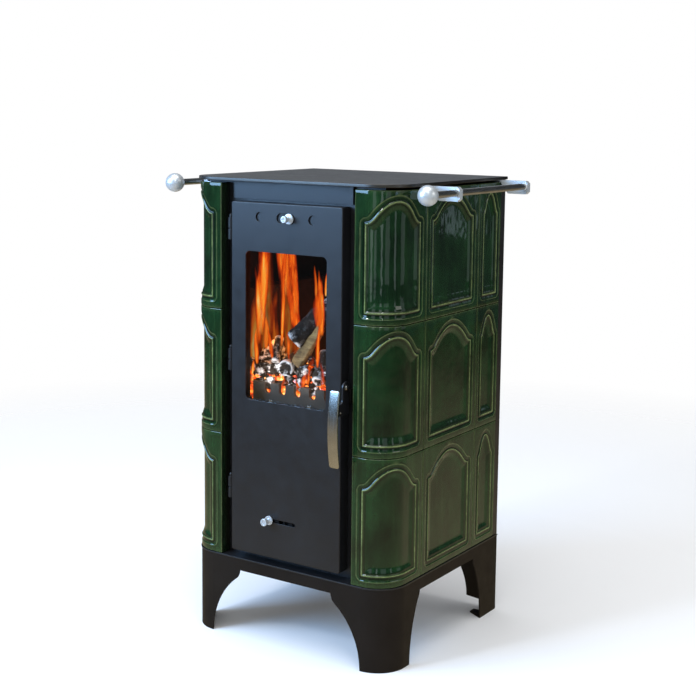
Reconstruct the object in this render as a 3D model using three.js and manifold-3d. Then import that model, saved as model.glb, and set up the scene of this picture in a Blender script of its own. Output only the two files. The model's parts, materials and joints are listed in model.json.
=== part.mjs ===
// A wood burning stove with a jacket of ceramic tiles, towel rails and a glazed fire door.
// Millimetres, +Z up. The door faces -Y, and +X is on the right when facing the door.
// The origin is on the floor, in the middle of the stove's width and depth.

import * as THREE from 'three';
import { mergeVertices } from 'three/addons/utils/BufferGeometryUtils.js';
import Module from 'manifold-3d';

const wasm = await Module();
wasm.setup();

// ---------- driving dimensions ----------

const clear = 0.3;                 // gap kept between pieces that touch
const past = 20;                   // how far a cutting tool reaches past what it cuts
const legHeight = 162.4;           // top of the plinth
const floorThick = 3;
const tileBase = 166;              // lower edge of the bottom tile row
const tilePitch = 250;
const halfWidth = 240.7;           // outer face of the side tiles
const halfDepth = 218.8;           // front face of the tiles, and rear face of the back panel
const cornerRadius = 62;
const tileDepth = 27;              // a tile's rim, from its face to its back edge
const tileWall = 12;
const tileOpening = 156;           // half the width of the front between the corner tiles
const sideJoints = [-99.5, 105.8]; // corner to centre tile, centre to rear tile
const tileEnd = 201;               // rear edge of the narrow rear tiles
const sheet = 3;                   // steel sheet of the body
const topThick = 6;
const topOverhang = 3.5;
const stoveHeight = 926;

const frameFront = -halfDepth + tileDepth + clear;
const frameBack = frameFront + sheet;
const topUnder = stoveHeight - topThick;
const floorTop = tileBase - clear;

const doorHalf = 130.5;
const doorBottom = 181;
const doorTop = 881;
const doorFront = -219.3;
const doorDepth = 26;
const windowHalf = 95.5;
const windowBottom = 493;
const windowTop = 786;
const windowRadius = 10;
const hingeX = -138.5;
const hingeY = -210;
const hingeHeights = [285, 545, 805];

const pivotY = -212;               // pivot of the door handle's lever
const pivotZ = 543;
const leverX = [134.3, 138.3];
const gripBottom = 396;
const gripTop = 543;
const gripEndY = -247;             // middle of the grip's strip at its two ends
const gripBow = 7.5;
const gripThick = 4;
const gripWidth = 22;

const shellHalf = 168;             // outer face of the steel firebox
const shellBack = 165.5;
const innerHalf = shellHalf - sheet - clear;
const innerBack = shellBack - sheet - clear;
const ashFloorTop = 193;
const grateBedTop = 446;
const brickTop = 700;
const brickThick = 25;
const flueZ = 848;
const flueRadius = 60;

const railX = 296;
const railZ = 908.8;
const railRadius = 6.5;
const ballY = -194;
const ballRadius = 19;
const bracketY = [-94, 188];

const archTop = 139.5;             // underside of the plinth's band
const plinthSheet = 2.5;

// ---------- materials ----------

function surface(color, roughness, metalness) {
  return () => new THREE.MeshStandardMaterial({ color, roughness, metalness });
}

const greenGlaze = surface(0x1f4a24, 0.15, 0);
const darkPaint = surface(0x2b2c30, 0.6, 0.1);
const plinthPaint = surface(0x292320, 0.6, 0.1);
const hobSteel = surface(0x5a5650, 0.45, 0.6);
const rawSteel = surface(0x8a8a88, 0.4, 0.9);
const brushedSteel = surface(0xa8a8a4, 0.35, 1);
const nickel = surface(0xd0d4d6, 0.25, 1);
const castIron = surface(0x2a2928, 0.7, 0.4);
const fireclay = surface(0xb59c74, 0.9, 0);
const clearGlass = surface(0xc8d0d0, 0.05, 0);
const ropeSeal = surface(0x55524d, 0.95, 0);

// ---------- shapes and solids ----------

const alongY = new THREE.Matrix4().makeBasis(
  new THREE.Vector3(1, 0, 0), new THREE.Vector3(0, 0, 1), new THREE.Vector3(0, -1, 0));
const alongX = new THREE.Matrix4().makeBasis(
  new THREE.Vector3(0, 1, 0), new THREE.Vector3(0, 0, 1), new THREE.Vector3(1, 0, 0));

// The outline's points, without the doubled ones where a line meets an arc.
function outlinePoints(shape, curveSegments) {
  const points = shape.getPoints(curveSegments);
  return points.filter((point, i) => point.distanceTo(points[(i + 1) % points.length]) > 0.01);
}

function extrude(shape, depth, curveSegments = 5) {
  const plain = new THREE.Shape(outlinePoints(shape, curveSegments));
  return new THREE.ExtrudeGeometry(plain, { depth, bevelEnabled: false });
}

// A plan outline (x, y) raised from z0 to z1.
function raise(shape, z0, z1, curveSegments) {
  return extrude(shape, z1 - z0, curveSegments).translate(0, 0, z0);
}

// A front outline (x, z) made solid from y0 back to y1.
function frontPlate(shape, y0, y1, curveSegments) {
  return extrude(shape, y1 - y0, curveSegments).applyMatrix4(alongY).translate(0, y1, 0);
}

// A side outline (y, z) made solid from x0 to x1.
function sidePlate(shape, x0, x1, curveSegments) {
  return extrude(shape, x1 - x0, curveSegments).applyMatrix4(alongX).translate(x0, 0, 0);
}

function block(x0, x1, y0, y1, z0, z1) {
  const geometry = new THREE.BoxGeometry(x1 - x0, y1 - y0, z1 - z0);
  return geometry.translate((x0 + x1) / 2, (y0 + y1) / 2, (z0 + z1) / 2);
}

function outline(points) {
  return new THREE.Shape(points.map(([x, y]) => new THREE.Vector2(x, y)));
}

// A rectangle with its corners rounded: left, right, low, high.
function roundedRect(left, right, low, high, radius) {
  const shape = new THREE.Shape();
  shape.moveTo(left + radius, low);
  shape.absarc(right - radius, low + radius, radius, -Math.PI / 2, 0, false);
  shape.absarc(right - radius, high - radius, radius, 0, Math.PI / 2, false);
  shape.absarc(left + radius, high - radius, radius, Math.PI / 2, Math.PI, false);
  shape.absarc(left + radius, low + radius, radius, Math.PI, Math.PI * 1.5, false);
  return shape;
}

function disc(x, y, radius) {
  const shape = new THREE.Shape();
  shape.absarc(x, y, radius, 0, Math.PI * 2, false);
  return shape;
}

function mirrored(shape, side, curveSegments = 5) {
  const points = outlinePoints(shape, curveSegments);
  return new THREE.Shape(points.map((point) => new THREE.Vector2(side * point.x, point.y)));
}

// A solid turned about a line parallel to Y: the profile is a list of [radius, y].
function turnedAlongY(profile, x, z, segments = 24) {
  const points = profile.map(([radius, y]) => new THREE.Vector2(radius, y));
  return geometryOf(solidOf(new THREE.LatheGeometry(points, segments).translate(x, 0, z)));
}

// A solid turned about a line parallel to Z: the profile is a list of [radius, z].
function turnedAlongZ(profile, x, y, segments = 20) {
  const points = profile.map(([radius, z]) => new THREE.Vector2(radius, z));
  const turned = new THREE.LatheGeometry(points, segments).rotateX(Math.PI / 2);
  return geometryOf(solidOf(turned.translate(x, y, 0)));
}

function solidOf(geometry) {
  const bare = geometry.clone();
  bare.deleteAttribute('normal');
  bare.deleteAttribute('uv');
  const merged = mergeVertices(bare, 1e-4);
  return new wasm.Manifold(new wasm.Mesh({
    numProp: 3,
    vertProperties: new Float32Array(merged.attributes.position.array),
    triVerts: new Uint32Array(merged.index.array),
  }));
}

function geometryOf(solid) {
  const mesh = solid.getMesh();
  const geometry = new THREE.BufferGeometry();
  geometry.setAttribute('position', new THREE.BufferAttribute(mesh.vertProperties, 3));
  geometry.setIndex(new THREE.BufferAttribute(mesh.triVerts, 1));
  geometry.computeVertexNormals();
  return geometry;
}

function join(...geometries) {
  return geometryOf(geometries.map(solidOf).reduce((whole, piece) => whole.add(piece)));
}

function cut(geometry, ...tools) {
  return geometryOf(tools.map(solidOf).reduce((whole, tool) => whole.subtract(tool), solidOf(geometry)));
}

function part(group, name, geometry, material, position = [0, 0, 0]) {
  const mesh = new THREE.Mesh(geometry, material());
  mesh.name = name;
  mesh.position.set(...position);
  group.add(mesh);
}

const sides = [['left', -1], ['right', 1]];

// ---------- ceramic tiles ----------

// A quarter round between the front of the stove and its right side, as a plan outline.
function cornerPlan(x0, x1, y0, y1, radius, backX, backY) {
  const shape = new THREE.Shape();
  shape.moveTo(x0, y0);
  shape.lineTo(x1 - radius, y0);
  shape.absarc(x1 - radius, y0 + radius, radius, -Math.PI / 2, 0, false);
  shape.lineTo(x1, y1);
  shape.lineTo(backX, y1);
  shape.lineTo(backX, backY);
  shape.lineTo(x0, backY);
  return shape;
}

// A corner tile: a rounded wall with a rim turned in at both ends.
function cornerTile(side) {
  const front = -halfDepth;
  const end = sideJoints[0] - clear;
  const backX = halfWidth - tileDepth;
  const backY = front + tileDepth;
  const height = tilePitch - 2 * clear;
  const outer = cornerPlan(tileOpening, halfWidth, front, end, cornerRadius, backX, backY);
  const hollow = cornerPlan(
    tileOpening + tileWall, halfWidth - tileWall, front + tileWall, end - tileWall,
    cornerRadius - tileWall, backX - past, backY + past);
  return cut(
    raise(mirrored(outer, side, 8), 0, height, 8),
    raise(mirrored(hollow, side, 8), -past, height + past, 8));
}

// The plan of a flat right-hand side tile between two places along Y.
function sideTilePlan(y0, y1) {
  const back = halfWidth - tileDepth;
  const wall = halfWidth - tileWall;
  const rim = Math.min(tileWall, (y1 - y0) / 4);
  return outline([
    [halfWidth, y0], [halfWidth, y1], [back, y1], [back, y1 - rim], [wall, y1 - rim],
    [wall, y0 + rim], [back, y0 + rim], [back, y0],
  ]);
}

function sideTile(side, y0, y1) {
  return raise(mirrored(sideTilePlan(y0, y1), side), 0, tilePitch - 2 * clear);
}

function tiles() {
  const group = new THREE.Group();
  const kinds = {
    corner: cornerTile,
    centre: (side) => sideTile(side, sideJoints[0] + clear, sideJoints[1] - clear),
    rear: (side) => sideTile(side, sideJoints[1] + clear, tileEnd),
  };
  const rowNames = ['bottom', 'middle', 'top'];
  for (const [sideName, side] of sides) {
    for (const [kind, makeTile] of Object.entries(kinds)) {
      rowNames.forEach((rowName, row) => {
        const place = [0, 0, tileBase + row * tilePitch + clear];
        part(group, `tile_${kind}_${sideName}_${rowName}`, makeTile(side), greenGlaze, place);
      });
    }
  }
  return group;
}

// ---------- plinth, floor and top ----------

// The plan of the stove: rounded at the front, square at the back.
function stovePlan(grow, rear) {
  const radius = cornerRadius + grow;
  const x = halfWidth + grow;
  const front = -halfDepth - grow;
  const shape = new THREE.Shape();
  shape.moveTo(-x, rear);
  shape.lineTo(-x, front + radius);
  shape.absarc(-x + radius, front + radius, radius, Math.PI, Math.PI * 1.5, false);
  shape.absarc(x - radius, front + radius, radius, -Math.PI / 2, 0, false);
  shape.lineTo(x, rear);
  return shape;
}

// A leg opening: feet that narrow downwards in an arc, and a small ogee under the band.
function legArch(middle, topHalf, footHalf, foot) {
  const ogeeWide = 7;
  const ogeeTall = 17;
  const arcHalf = topHalf + ogeeWide;
  const arcTop = archTop - ogeeTall;
  const bend = [ogeeWide * 0.2, archTop - ogeeTall * 0.65];
  const rise = arcTop - foot;
  const spread = footHalf - arcHalf;
  const radius = (spread * spread + rise * rise) / (2 * spread);
  const sweep = Math.asin(rise / radius);
  const shape = new THREE.Shape();
  shape.moveTo(middle - footHalf, foot - past);
  shape.lineTo(middle + footHalf, foot - past);
  shape.absarc(middle + footHalf - radius, foot, radius, 0, sweep, false);
  shape.quadraticCurveTo(middle + topHalf + bend[0], bend[1], middle + topHalf, archTop);
  shape.lineTo(middle - topHalf, archTop);
  shape.quadraticCurveTo(middle - topHalf - bend[0], bend[1], middle - arcHalf, arcTop);
  shape.absarc(middle - footHalf + radius, foot, radius, Math.PI - sweep, Math.PI, false);
  return shape;
}

// A foot plate turned in at the bottom of a leg, with its front edge cut on a slant.
function footPlate(side, y0) {
  const reach = 33;
  const slant = 18;
  const length = 36;
  const wall = halfWidth - plinthSheet / 2;
  const plan = outline([
    [side * wall, y0], [side * wall, y0 + length],
    [side * (wall - reach), y0 + length], [side * (wall - reach), y0 + slant],
  ]);
  return raise(plan, 0, plinthSheet);
}

function plinth() {
  const group = new THREE.Group();
  const rear = halfDepth;
  const frontArch = { topHalf: 110, footHalf: 178.5 };
  const sideArch = { middle: 6, topHalf: 108, footHalf: 144 };
  const backArch = { footHalf: 173, foot: 17, cornerFoot: 11 };
  const reach = halfWidth + past;
  const skirt = cut(
    raise(stovePlan(0, rear), 0, legHeight, 6),
    raise(stovePlan(-plinthSheet, rear + past), -past, legHeight + past, 6),
    frontPlate(legArch(0, frontArch.topHalf, frontArch.footHalf, 0), -rear - past, -rear + past),
    sidePlate(legArch(sideArch.middle, sideArch.topHalf, sideArch.footHalf, 0), -reach, reach),
  );
  const rearLegFront = sideArch.middle + sideArch.footHalf;
  const feet = sides.map(([, side]) => footPlate(side, rearLegFront));
  part(group, 'plinth_skirt', join(skirt, ...feet), plinthPaint);

  const backHalf = halfWidth - plinthSheet - clear;
  const { footHalf, foot, cornerFoot } = backArch;
  const backSheet = outline([
    [-backHalf, cornerFoot], [-footHalf, foot], [footHalf, foot], [backHalf, cornerFoot],
    [backHalf, legHeight], [-backHalf, legHeight],
  ]);
  const back = cut(
    frontPlate(backSheet, rear - 2 * plinthSheet, rear - plinthSheet),
    frontPlate(legArch(0, frontArch.topHalf, footHalf, foot), rear - past, rear + past),
  );
  part(group, 'plinth_back', back, plinthPaint);
  const ledge = 1.3;
  const floor = raise(stovePlan(ledge, halfDepth), floorTop - floorThick, floorTop, 6);
  part(group, 'floor_plate', floor, darkPaint);
  return group;
}

function topPlate() {
  const group = new THREE.Group();
  const rearOverhang = 1;
  const plate = raise(stovePlan(topOverhang, halfDepth + rearOverhang), topUnder, stoveHeight, 6);
  part(group, 'top_plate', plate, hobSteel);
  return group;
}

// ---------- steel body ----------

function frontFrame() {
  const frameHalf = 205;
  const openingHalf = 112;
  const barTop = 470;
  const barBottom = 425;
  const openingTop = 867;
  const faciaHalf = 140;
  const faciaProud = 8;
  const faciaGap = 4;
  const high = topUnder - clear;
  const panel = block(-frameHalf, frameHalf, frameFront, frameBack, tileBase, high);
  const facia = block(
    -faciaHalf, faciaHalf, frameFront - faciaProud, frameBack, doorTop + faciaGap, high);
  const cutFront = frameFront - past;
  const cutBack = frameBack + past;
  const fireOpening = block(-openingHalf, openingHalf, cutFront, cutBack, barTop, openingTop);
  const ashOpening = block(-openingHalf, openingHalf, cutFront, cutBack, ashFloorTop, barBottom);
  return cut(join(panel, facia), fireOpening, ashOpening);
}

// The steel firebox: two sides and a back, bent from one sheet.
function fireboxShell() {
  const front = frameBack + clear;
  const outer = block(-shellHalf, shellHalf, front, shellBack, tileBase, topUnder - clear);
  const inner = block(
    -shellHalf + sheet, shellHalf - sheet, front - past, shellBack - sheet, tileBase - past, topUnder + past);
  return cut(outer, inner, flueCut(shellBack - past, shellBack + past));
}

function flueCut(y0, y1) {
  const radius = flueRadius + clear;
  return turnedAlongY([[0, y0], [radius, y0], [radius, y1], [0, y1]], 0, flueZ, 32);
}

// The back panel, a tray whose sides close the tile jacket behind the rear tiles.
function backPanel() {
  const setBack = 0.7;
  const thick = 2;
  const side = halfWidth - setBack;
  const outer = block(-side, side, tileEnd + clear, halfDepth, tileBase, topUnder - clear);
  const inner = block(
    -side + thick, side - thick, tileEnd - past, halfDepth - thick, tileBase - past, topUnder + past);
  return cut(outer, inner, flueCut(halfDepth - past, halfDepth + past));
}

// The outlet: a collar through the back, with a flange against the back panel.
function flueCollar(end) {
  const flange = flueRadius + 10;
  const bore = flueRadius - 2;
  const start = shellBack - 8;
  const flangeFront = halfDepth + clear;
  const flangeBack = halfDepth + sheet;
  return turnedAlongY([
    [bore, start], [flueRadius, start], [flueRadius, flangeFront], [flange, flangeFront],
    [flange, flangeBack], [flueRadius, flangeBack], [flueRadius, end], [bore, end], [bore, start],
  ], 0, flueZ, 32);
}

function body() {
  const group = new THREE.Group();
  const flueEnd = -(gripEndY - gripBow - gripThick / 2);
  part(group, 'front_frame', frontFrame(), darkPaint);
  part(group, 'firebox_shell', fireboxShell(), rawSteel);
  part(group, 'back_panel', backPanel(), darkPaint);
  part(group, 'flue_collar', flueCollar(flueEnd), darkPaint);
  return group;
}

// ---------- inside the firebox ----------

function grate() {
  const half = 110;
  const y0 = -162;
  const y1 = 118;
  const thick = 12;
  const border = 22;
  const slotHalf = 5;
  const slotPitch = 20;
  const slotCount = 9;
  const top = grateBedTop + thick;
  const plate = block(-half, half, y0, y1, grateBedTop + clear, top);
  const slots = [];
  for (let i = 0; i < slotCount; i += 1) {
    const x = (i - (slotCount - 1) / 2) * slotPitch;
    slots.push(block(x - slotHalf, x + slotHalf, y0 + border, y1 - border, grateBedTop - past, top + past));
  }
  return cut(plate, ...slots);
}

// The cast fence that keeps logs off the glass: six tabs with round-bottomed gaps.
function logGuard() {
  const pitch = 36;
  const gapHalf = 7.5;
  const top = 521;
  const gapBottom = 500;
  const half = 3 * pitch;
  const y = -179;
  const thick = 8;
  const plate = block(-half, half, y, y + thick, grateBedTop + clear, top);
  const gaps = [-2, -1, 0, 1, 2].map((i) => {
    const shape = new THREE.Shape();
    shape.moveTo(i * pitch + gapHalf, top + past);
    shape.lineTo(i * pitch - gapHalf, top + past);
    shape.absarc(i * pitch, gapBottom + gapHalf, gapHalf, Math.PI, Math.PI * 2, false);
    return frontPlate(shape, y - past, y + thick + past, 4);
  });
  return cut(plate, ...gaps);
}

function ashPan() {
  const half = 105;
  const front = -182;
  const rear = 110;
  const wall = 2;
  const floor = ashFloorTop + clear;
  const top = 283;
  const pullHalf = 45;
  const pan = block(-half, half, front, rear, floor, top);
  const hollow = block(-half + wall, half - wall, front + wall, rear - wall, floor + wall, top + past);
  const pull = block(-pullHalf, pullHalf, front - 4, front + wall, top - wall, top + 14);
  return cut(join(pan, pull), hollow);
}

// The shelf the grate and the bricks stand on, with its hole under the grate.
function grateBed(front) {
  const thick = 6;
  const holeHalf = 100;
  const holeY = [-150, 106];
  return cut(
    block(-innerHalf, innerHalf, front, innerBack, grateBedTop - thick, grateBedTop),
    block(-holeHalf, holeHalf, holeY[0], holeY[1], grateBedTop - past, grateBedTop + past));
}

// The plate above the fire that turns the smoke forwards: its underside rises from back to front.
function baffle() {
  const thick = 6;
  const front = -100;
  const frontZ = 835;
  const backZ = 765;
  const half = innerHalf - 3;
  const side = outline([
    [innerBack, backZ], [innerBack, backZ + thick], [front, frontZ + thick], [front, frontZ],
  ]);
  return sidePlate(side, -half, half);
}

function inside() {
  const group = new THREE.Group();
  const front = frameBack + clear;
  const brickBase = grateBedTop + clear;
  const brickInner = innerHalf - brickThick;
  const ashFloor = block(-innerHalf, innerHalf, front, innerBack, ashFloorTop - sheet, ashFloorTop);
  part(group, 'ash_floor', ashFloor, rawSteel);
  part(group, 'grate_bed', grateBed(front), castIron);
  part(group, 'grate', grate(), castIron);
  part(group, 'log_guard', logGuard(), castIron);
  for (const [sideName, side] of sides) {
    const x0 = Math.min(side * brickInner, side * innerHalf);
    const x1 = Math.max(side * brickInner, side * innerHalf);
    const brick = block(x0, x1, front + 3, innerBack, brickBase, brickTop);
    part(group, `firebrick_${sideName}`, brick, fireclay);
  }
  const backHalf = brickInner - clear;
  const backBrick = block(-backHalf, backHalf, innerBack - brickThick, innerBack, brickBase, brickTop);
  part(group, 'firebrick_back', backBrick, fireclay);
  part(group, 'baffle', baffle(), castIron);
  part(group, 'ash_pan', ashPan(), rawSteel);
  return group;
}

// ---------- door ----------

const doorBack = doorFront + doorDepth;
const upperAirZ = 853;
const lowerAirZ = 257;
const upperKnobX = 9;
const lowerKnobX = -36;
const knobStem = 3.2;

const upperSlot = { x: [-21, 21], half: 9.5 };
const lowerSlot = { x: [-41, 26], half: 3.6 };

// A slot with rounded ends, as a front outline.
function slot({ x, half }, z) {
  return roundedRect(x[0], x[1], z - half, z + half, half * 0.98);
}

// The door's outer shell: a front sheet with turned-back edges.
function doorSkin() {
  const corner = 5;
  const holeRadius = 9;
  const holeX = 62;
  const cutFront = doorFront - past;
  const cutBack = doorFront + past;
  const plan = roundedRect(-doorHalf, doorHalf, doorBottom, doorTop, corner);
  const outer = frontPlate(plan, doorFront, doorBack, 3);
  const hollow = roundedRect(
    -doorHalf + sheet, doorHalf - sheet, doorBottom + sheet, doorTop - sheet, corner - sheet);
  return cut(
    outer,
    frontPlate(hollow, doorFront + sheet, doorBack + past, 3),
    frontPlate(windowOutline(0, windowRadius), cutFront, cutBack, 4),
    frontPlate(slot(upperSlot, upperAirZ), cutFront, cutBack, 4),
    frontPlate(disc(-holeX, upperAirZ, holeRadius), cutFront, cutBack, 6),
    frontPlate(disc(holeX, upperAirZ, holeRadius), cutFront, cutBack, 6),
    frontPlate(slot(lowerSlot, lowerAirZ), cutFront, cutBack, 3),
  );
}

const innerFrameFront = -200.5;
const innerFrameThick = 2.5;
const glassFront = doorFront + sheet + 0.5;
const glassThick = 4;

// The window's outline, grown on every side.
function windowOutline(grow, radius) {
  return roundedRect(
    -windowHalf - grow, windowHalf + grow, windowBottom - grow, windowTop + grow, radius);
}

// The inner frame: a plate inside the door, with a collar that clamps the glass.
function doorInnerFrame() {
  const half = doorHalf - sheet - 3.5;
  const low = doorBottom + sheet + 2;
  const high = doorTop - sheet - 2;
  const collarFront = glassFront + glassThick + clear;
  return cut(
    join(
      block(-half, half, innerFrameFront, innerFrameFront + innerFrameThick, low, high),
      frontPlate(windowOutline(6, windowRadius + 2), collarFront, innerFrameFront + 1, 3),
    ),
    frontPlate(windowOutline(4, windowRadius), collarFront - past, innerFrameFront + past, 3),
  );
}

// The rope seal round the back of the door.
function doorGasket() {
  const front = innerFrameFront + innerFrameThick + clear;
  const back = frameFront - clear;
  const half = doorHalf - 7.5;
  const low = doorBottom + 5;
  const high = doorTop - 5;
  const rope = 7;
  const corner = 8;
  const outer = roundedRect(-half, half, low, high, corner);
  const inner = roundedRect(-half + rope, half - rope, low + rope, high - rope, corner - rope / 2);
  return cut(frontPlate(outer, front, back, 3), frontPlate(inner, front - past, back + past, 3));
}

// An air slide: a thin plate behind the front sheet, with its air holes.
function airSlide({ x, half, holes, radius }, z) {
  const front = doorFront + sheet + clear;
  const thick = 2;
  const plate = block(x[0], x[1], front, front + thick, z - half, z + half);
  const bores = holes.map((holeX) => frontPlate(disc(holeX, z, radius), front - past, front + past, 5));
  return cut(plate, ...bores);
}

// A turned knob: its head, its waist, a washer on the door and a stem to the slide.
function airKnob(headRadius, washerRadius) {
  const reach = 20;
  const headLength = 8;
  const washerThick = 3;
  const edge = 1;
  const waist = headRadius - 2.2;
  const stemEnd = doorFront + sheet;
  const washerBack = doorFront - clear;
  const washerFront = washerBack - washerThick;
  const headFront = doorFront - reach;
  const headBack = headFront + headLength;
  return turnedAlongY([
    [0, headFront], [headRadius - edge, headFront], [headRadius, headFront + edge],
    [headRadius, headBack], [waist, headBack], [waist, washerFront],
    [washerRadius, washerFront], [washerRadius, washerBack], [knobStem, washerBack],
    [knobStem, stemEnd], [0, stemEnd],
  ], 0, 0, 20);
}

const knuckleHeight = 20;
const knuckleRadius = 6;
const knuckleBore = 4;
const pinRadius = 3.7;
const knuckleGap = 2.5;

// The frame's half of a hinge: a lower knuckle on an arm, with the pin standing in it.
function hingePost() {
  const arm = block(hingeX - 2, hingeX + 2, hingeY + 3, frameFront - clear, 2, knuckleHeight - 2);
  const pinTop = 2 * knuckleHeight + knuckleGap + clear;
  const post = turnedAlongZ([
    [0, 0], [knuckleRadius, 0], [knuckleRadius, knuckleHeight], [pinRadius, knuckleHeight],
    [pinRadius, pinTop], [pinRadius, pinTop + 5], [pinRadius - 1.2, pinTop + 7], [0, pinTop + 7],
  ], hingeX, hingeY);
  return join(post, arm);
}

// The door's half of a hinge: a bored knuckle on an arm from the door's edge.
function hingeKnuckle() {
  const low = knuckleHeight + knuckleGap;
  const high = low + knuckleHeight;
  const barrel = turnedAlongZ(
    [[0, low], [knuckleRadius, low], [knuckleRadius, high], [0, high]], hingeX, hingeY);
  const arm = block(hingeX + 3, -doorHalf - clear, hingeY - 2, hingeY + 2, low + 1, high - 1);
  const bore = turnedAlongZ(
    [[0, low - past], [knuckleBore, low - past], [knuckleBore, high + past], [0, high + past]],
    hingeX, hingeY);
  return cut(join(barrel, arm), bore);
}

// The bowed strip of the handle, as a side outline swept across its width.
function handleGrip() {
  const middle = (gripBottom + gripTop) / 2;
  const halfLength = (gripTop - gripBottom) / 2;
  const radius = (halfLength * halfLength + gripBow * gripBow) / (2 * gripBow);
  const centreY = gripEndY - gripBow + radius;
  const sweep = Math.asin(halfLength / radius);
  const shape = new THREE.Shape();
  const outerRadius = radius + gripThick / 2;
  const innerRadius = radius - gripThick / 2;
  shape.absarc(centreY, middle, outerRadius, Math.PI - sweep, Math.PI + sweep, false);
  shape.absarc(centreY, middle, innerRadius, Math.PI + sweep, Math.PI - sweep, true);
  const x = (leverX[0] + leverX[1]) / 2;
  return sidePlate(shape, x - gripWidth / 2, x + gripWidth / 2, 5);
}

// The lever: a lobe round the pivot, an arm forward to the grip and a tongue back to the keeper.
function handleLever() {
  const lobe = 12;
  const armTop = 514;
  const armBottom = 492;
  const armEndLow = -251.2;      // the arm's end follows the slope of the grip
  const armEndHigh = -249.3;
  const tongueBack = -194.5;
  const tongue = [520, 531];
  const heel = 4;
  const shape = new THREE.Shape();
  shape.moveTo(armEndLow, armBottom);
  shape.lineTo(pivotY + lobe - 2, armBottom);
  shape.lineTo(pivotY + lobe - 2, tongue[0] - heel);
  shape.lineTo(tongueBack, tongue[0]);
  shape.lineTo(tongueBack, tongue[1]);
  shape.lineTo(pivotY + lobe, tongue[1] + heel + 1);
  shape.absarc(pivotY, pivotZ, lobe, 0, Math.PI, false);
  shape.lineTo(pivotY - lobe, armTop + heel);
  shape.lineTo(pivotY - lobe - heel, armTop);
  shape.lineTo(armEndHigh, armTop);
  const boltRadius = 5;
  const boltLength = 3;
  const bolt = new THREE.CylinderGeometry(boltRadius, boltRadius, boltLength, 16);
  bolt.rotateZ(Math.PI / 2).translate(leverX[1] + 1, pivotY, pivotZ);
  const stemRadius = 3;
  const stemLength = 4;
  const stem = new THREE.CylinderGeometry(stemRadius, stemRadius, stemLength, 12);
  stem.rotateZ(Math.PI / 2).translate(leverX[0] - 1.2, pivotY, pivotZ);
  return join(sidePlate(shape, leverX[0], leverX[1], 6), bolt, stem);
}

function door() {
  const group = new THREE.Group();
  part(group, 'door_skin', doorSkin(), darkPaint);
  part(group, 'door_inner_frame', doorInnerFrame(), rawSteel);
  const glassGrow = 8;
  const glass = block(
    -windowHalf - glassGrow, windowHalf + glassGrow, glassFront, glassFront + glassThick,
    windowBottom - glassGrow, windowTop + glassGrow);
  part(group, 'door_glass', glass, clearGlass);
  part(group, 'door_gasket', doorGasket(), ropeSeal);
  const upperSlide = { x: [-86, 104], half: 15, holes: [-44, 80], radius: 9 };
  const lowerSlide = { x: [-62, 18], half: 20, holes: [-10, 4], radius: 5 };
  part(group, 'upper_air_slide', airSlide(upperSlide, upperAirZ), darkPaint);
  part(group, 'upper_air_knob', airKnob(6.5, 10), nickel, [upperKnobX, 0, upperAirZ]);
  part(group, 'lower_air_slide', airSlide(lowerSlide, lowerAirZ), darkPaint);
  part(group, 'lower_air_knob', airKnob(7.5, 9), nickel, [lowerKnobX, 0, lowerAirZ]);
  part(group, 'handle_grip', handleGrip(), brushedSteel);
  part(group, 'handle_lever', handleLever(), darkPaint);
  const rowNames = ['bottom', 'middle', 'top'];
  hingeHeights.forEach((height, row) => {
    part(group, `hinge_post_${rowNames[row]}`, hingePost(), darkPaint, [0, 0, height]);
    part(group, `hinge_knuckle_${rowNames[row]}`, hingeKnuckle(), darkPaint, [0, 0, height]);
  });
  return group;
}

// The keeper: an angle on the front frame beside the lever's tongue.
function latchKeeper() {
  const thick = 2.5;
  const x = 140.5;
  const width = 12.5;
  const lipReach = 14;
  const back = frameFront - clear;
  const base = block(x, x + width, back - thick, back, pivotZ - 43, pivotZ + 17);
  const lip = block(x, x + thick, back - lipReach, back - 1, pivotZ - 31, pivotZ - 3);
  return join(base, lip);
}

// ---------- rails ----------

function railBall(side) {
  const points = [];
  const neck = 8;
  const last = Math.PI - Math.asin(neck / ballRadius);
  const steps = 12;
  for (let i = 0; i <= steps; i += 1) {
    const angle = (last * i) / steps;
    points.push([ballRadius * Math.sin(angle), ballY - ballRadius * Math.cos(angle)]);
  }
  const end = ballY + ballRadius + 1;
  points.push([neck, end], [0, end]);
  points[0][0] = 0;
  return turnedAlongY(points, side * railX, railZ, 24);
}

function railRod(side) {
  const y0 = ballY + ballRadius + 1 + clear;
  const y1 = bracketY[1] - clear;
  return turnedAlongY([[0, y0], [railRadius, y0], [railRadius, y1], [0, y1]], side * railX, railZ, 20);
}

// A bracket: a pressed channel whose web faces the front, hung from a tongue under the top plate.
function railBracket(side, y) {
  const depth = 12;
  const thick = 2.5;
  const slope = 20;
  const corner = 5;
  const low = railZ - 15.8;
  const high = topUnder - clear;
  const root = halfWidth + clear;
  const outer = railX + 9;
  const channel = (inner, grow) => outline([
    [side * inner, high - grow], [side * (inner + slope), low + grow],
    [side * (outer - corner - grow), low + grow], [side * (outer - grow), low + corner + grow],
    [side * (outer - grow), high - corner - grow], [side * (outer - corner - grow), high - grow],
  ]);
  const web = channel(root, 0);
  const hollow = channel(root - 2 * slope, thick);
  const shell = cut(frontPlate(web, y, y + depth), frontPlate(hollow, y + thick, y + depth + past));
  const tongueLength = 45;
  const tongueEnd = root + 9;
  const start = Math.min(side * tongueEnd, side * (tongueEnd - tongueLength));
  const tongue = block(start, start + tongueLength, y, y + depth, high - thick, high);
  const boreRadius = railRadius + clear;
  const bore = turnedAlongY(
    [[0, y - past], [boreRadius, y - past], [boreRadius, y + past / 4], [0, y + past / 4]],
    side * railX, railZ, 20);
  return cut(join(shell, tongue), bore);
}

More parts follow.
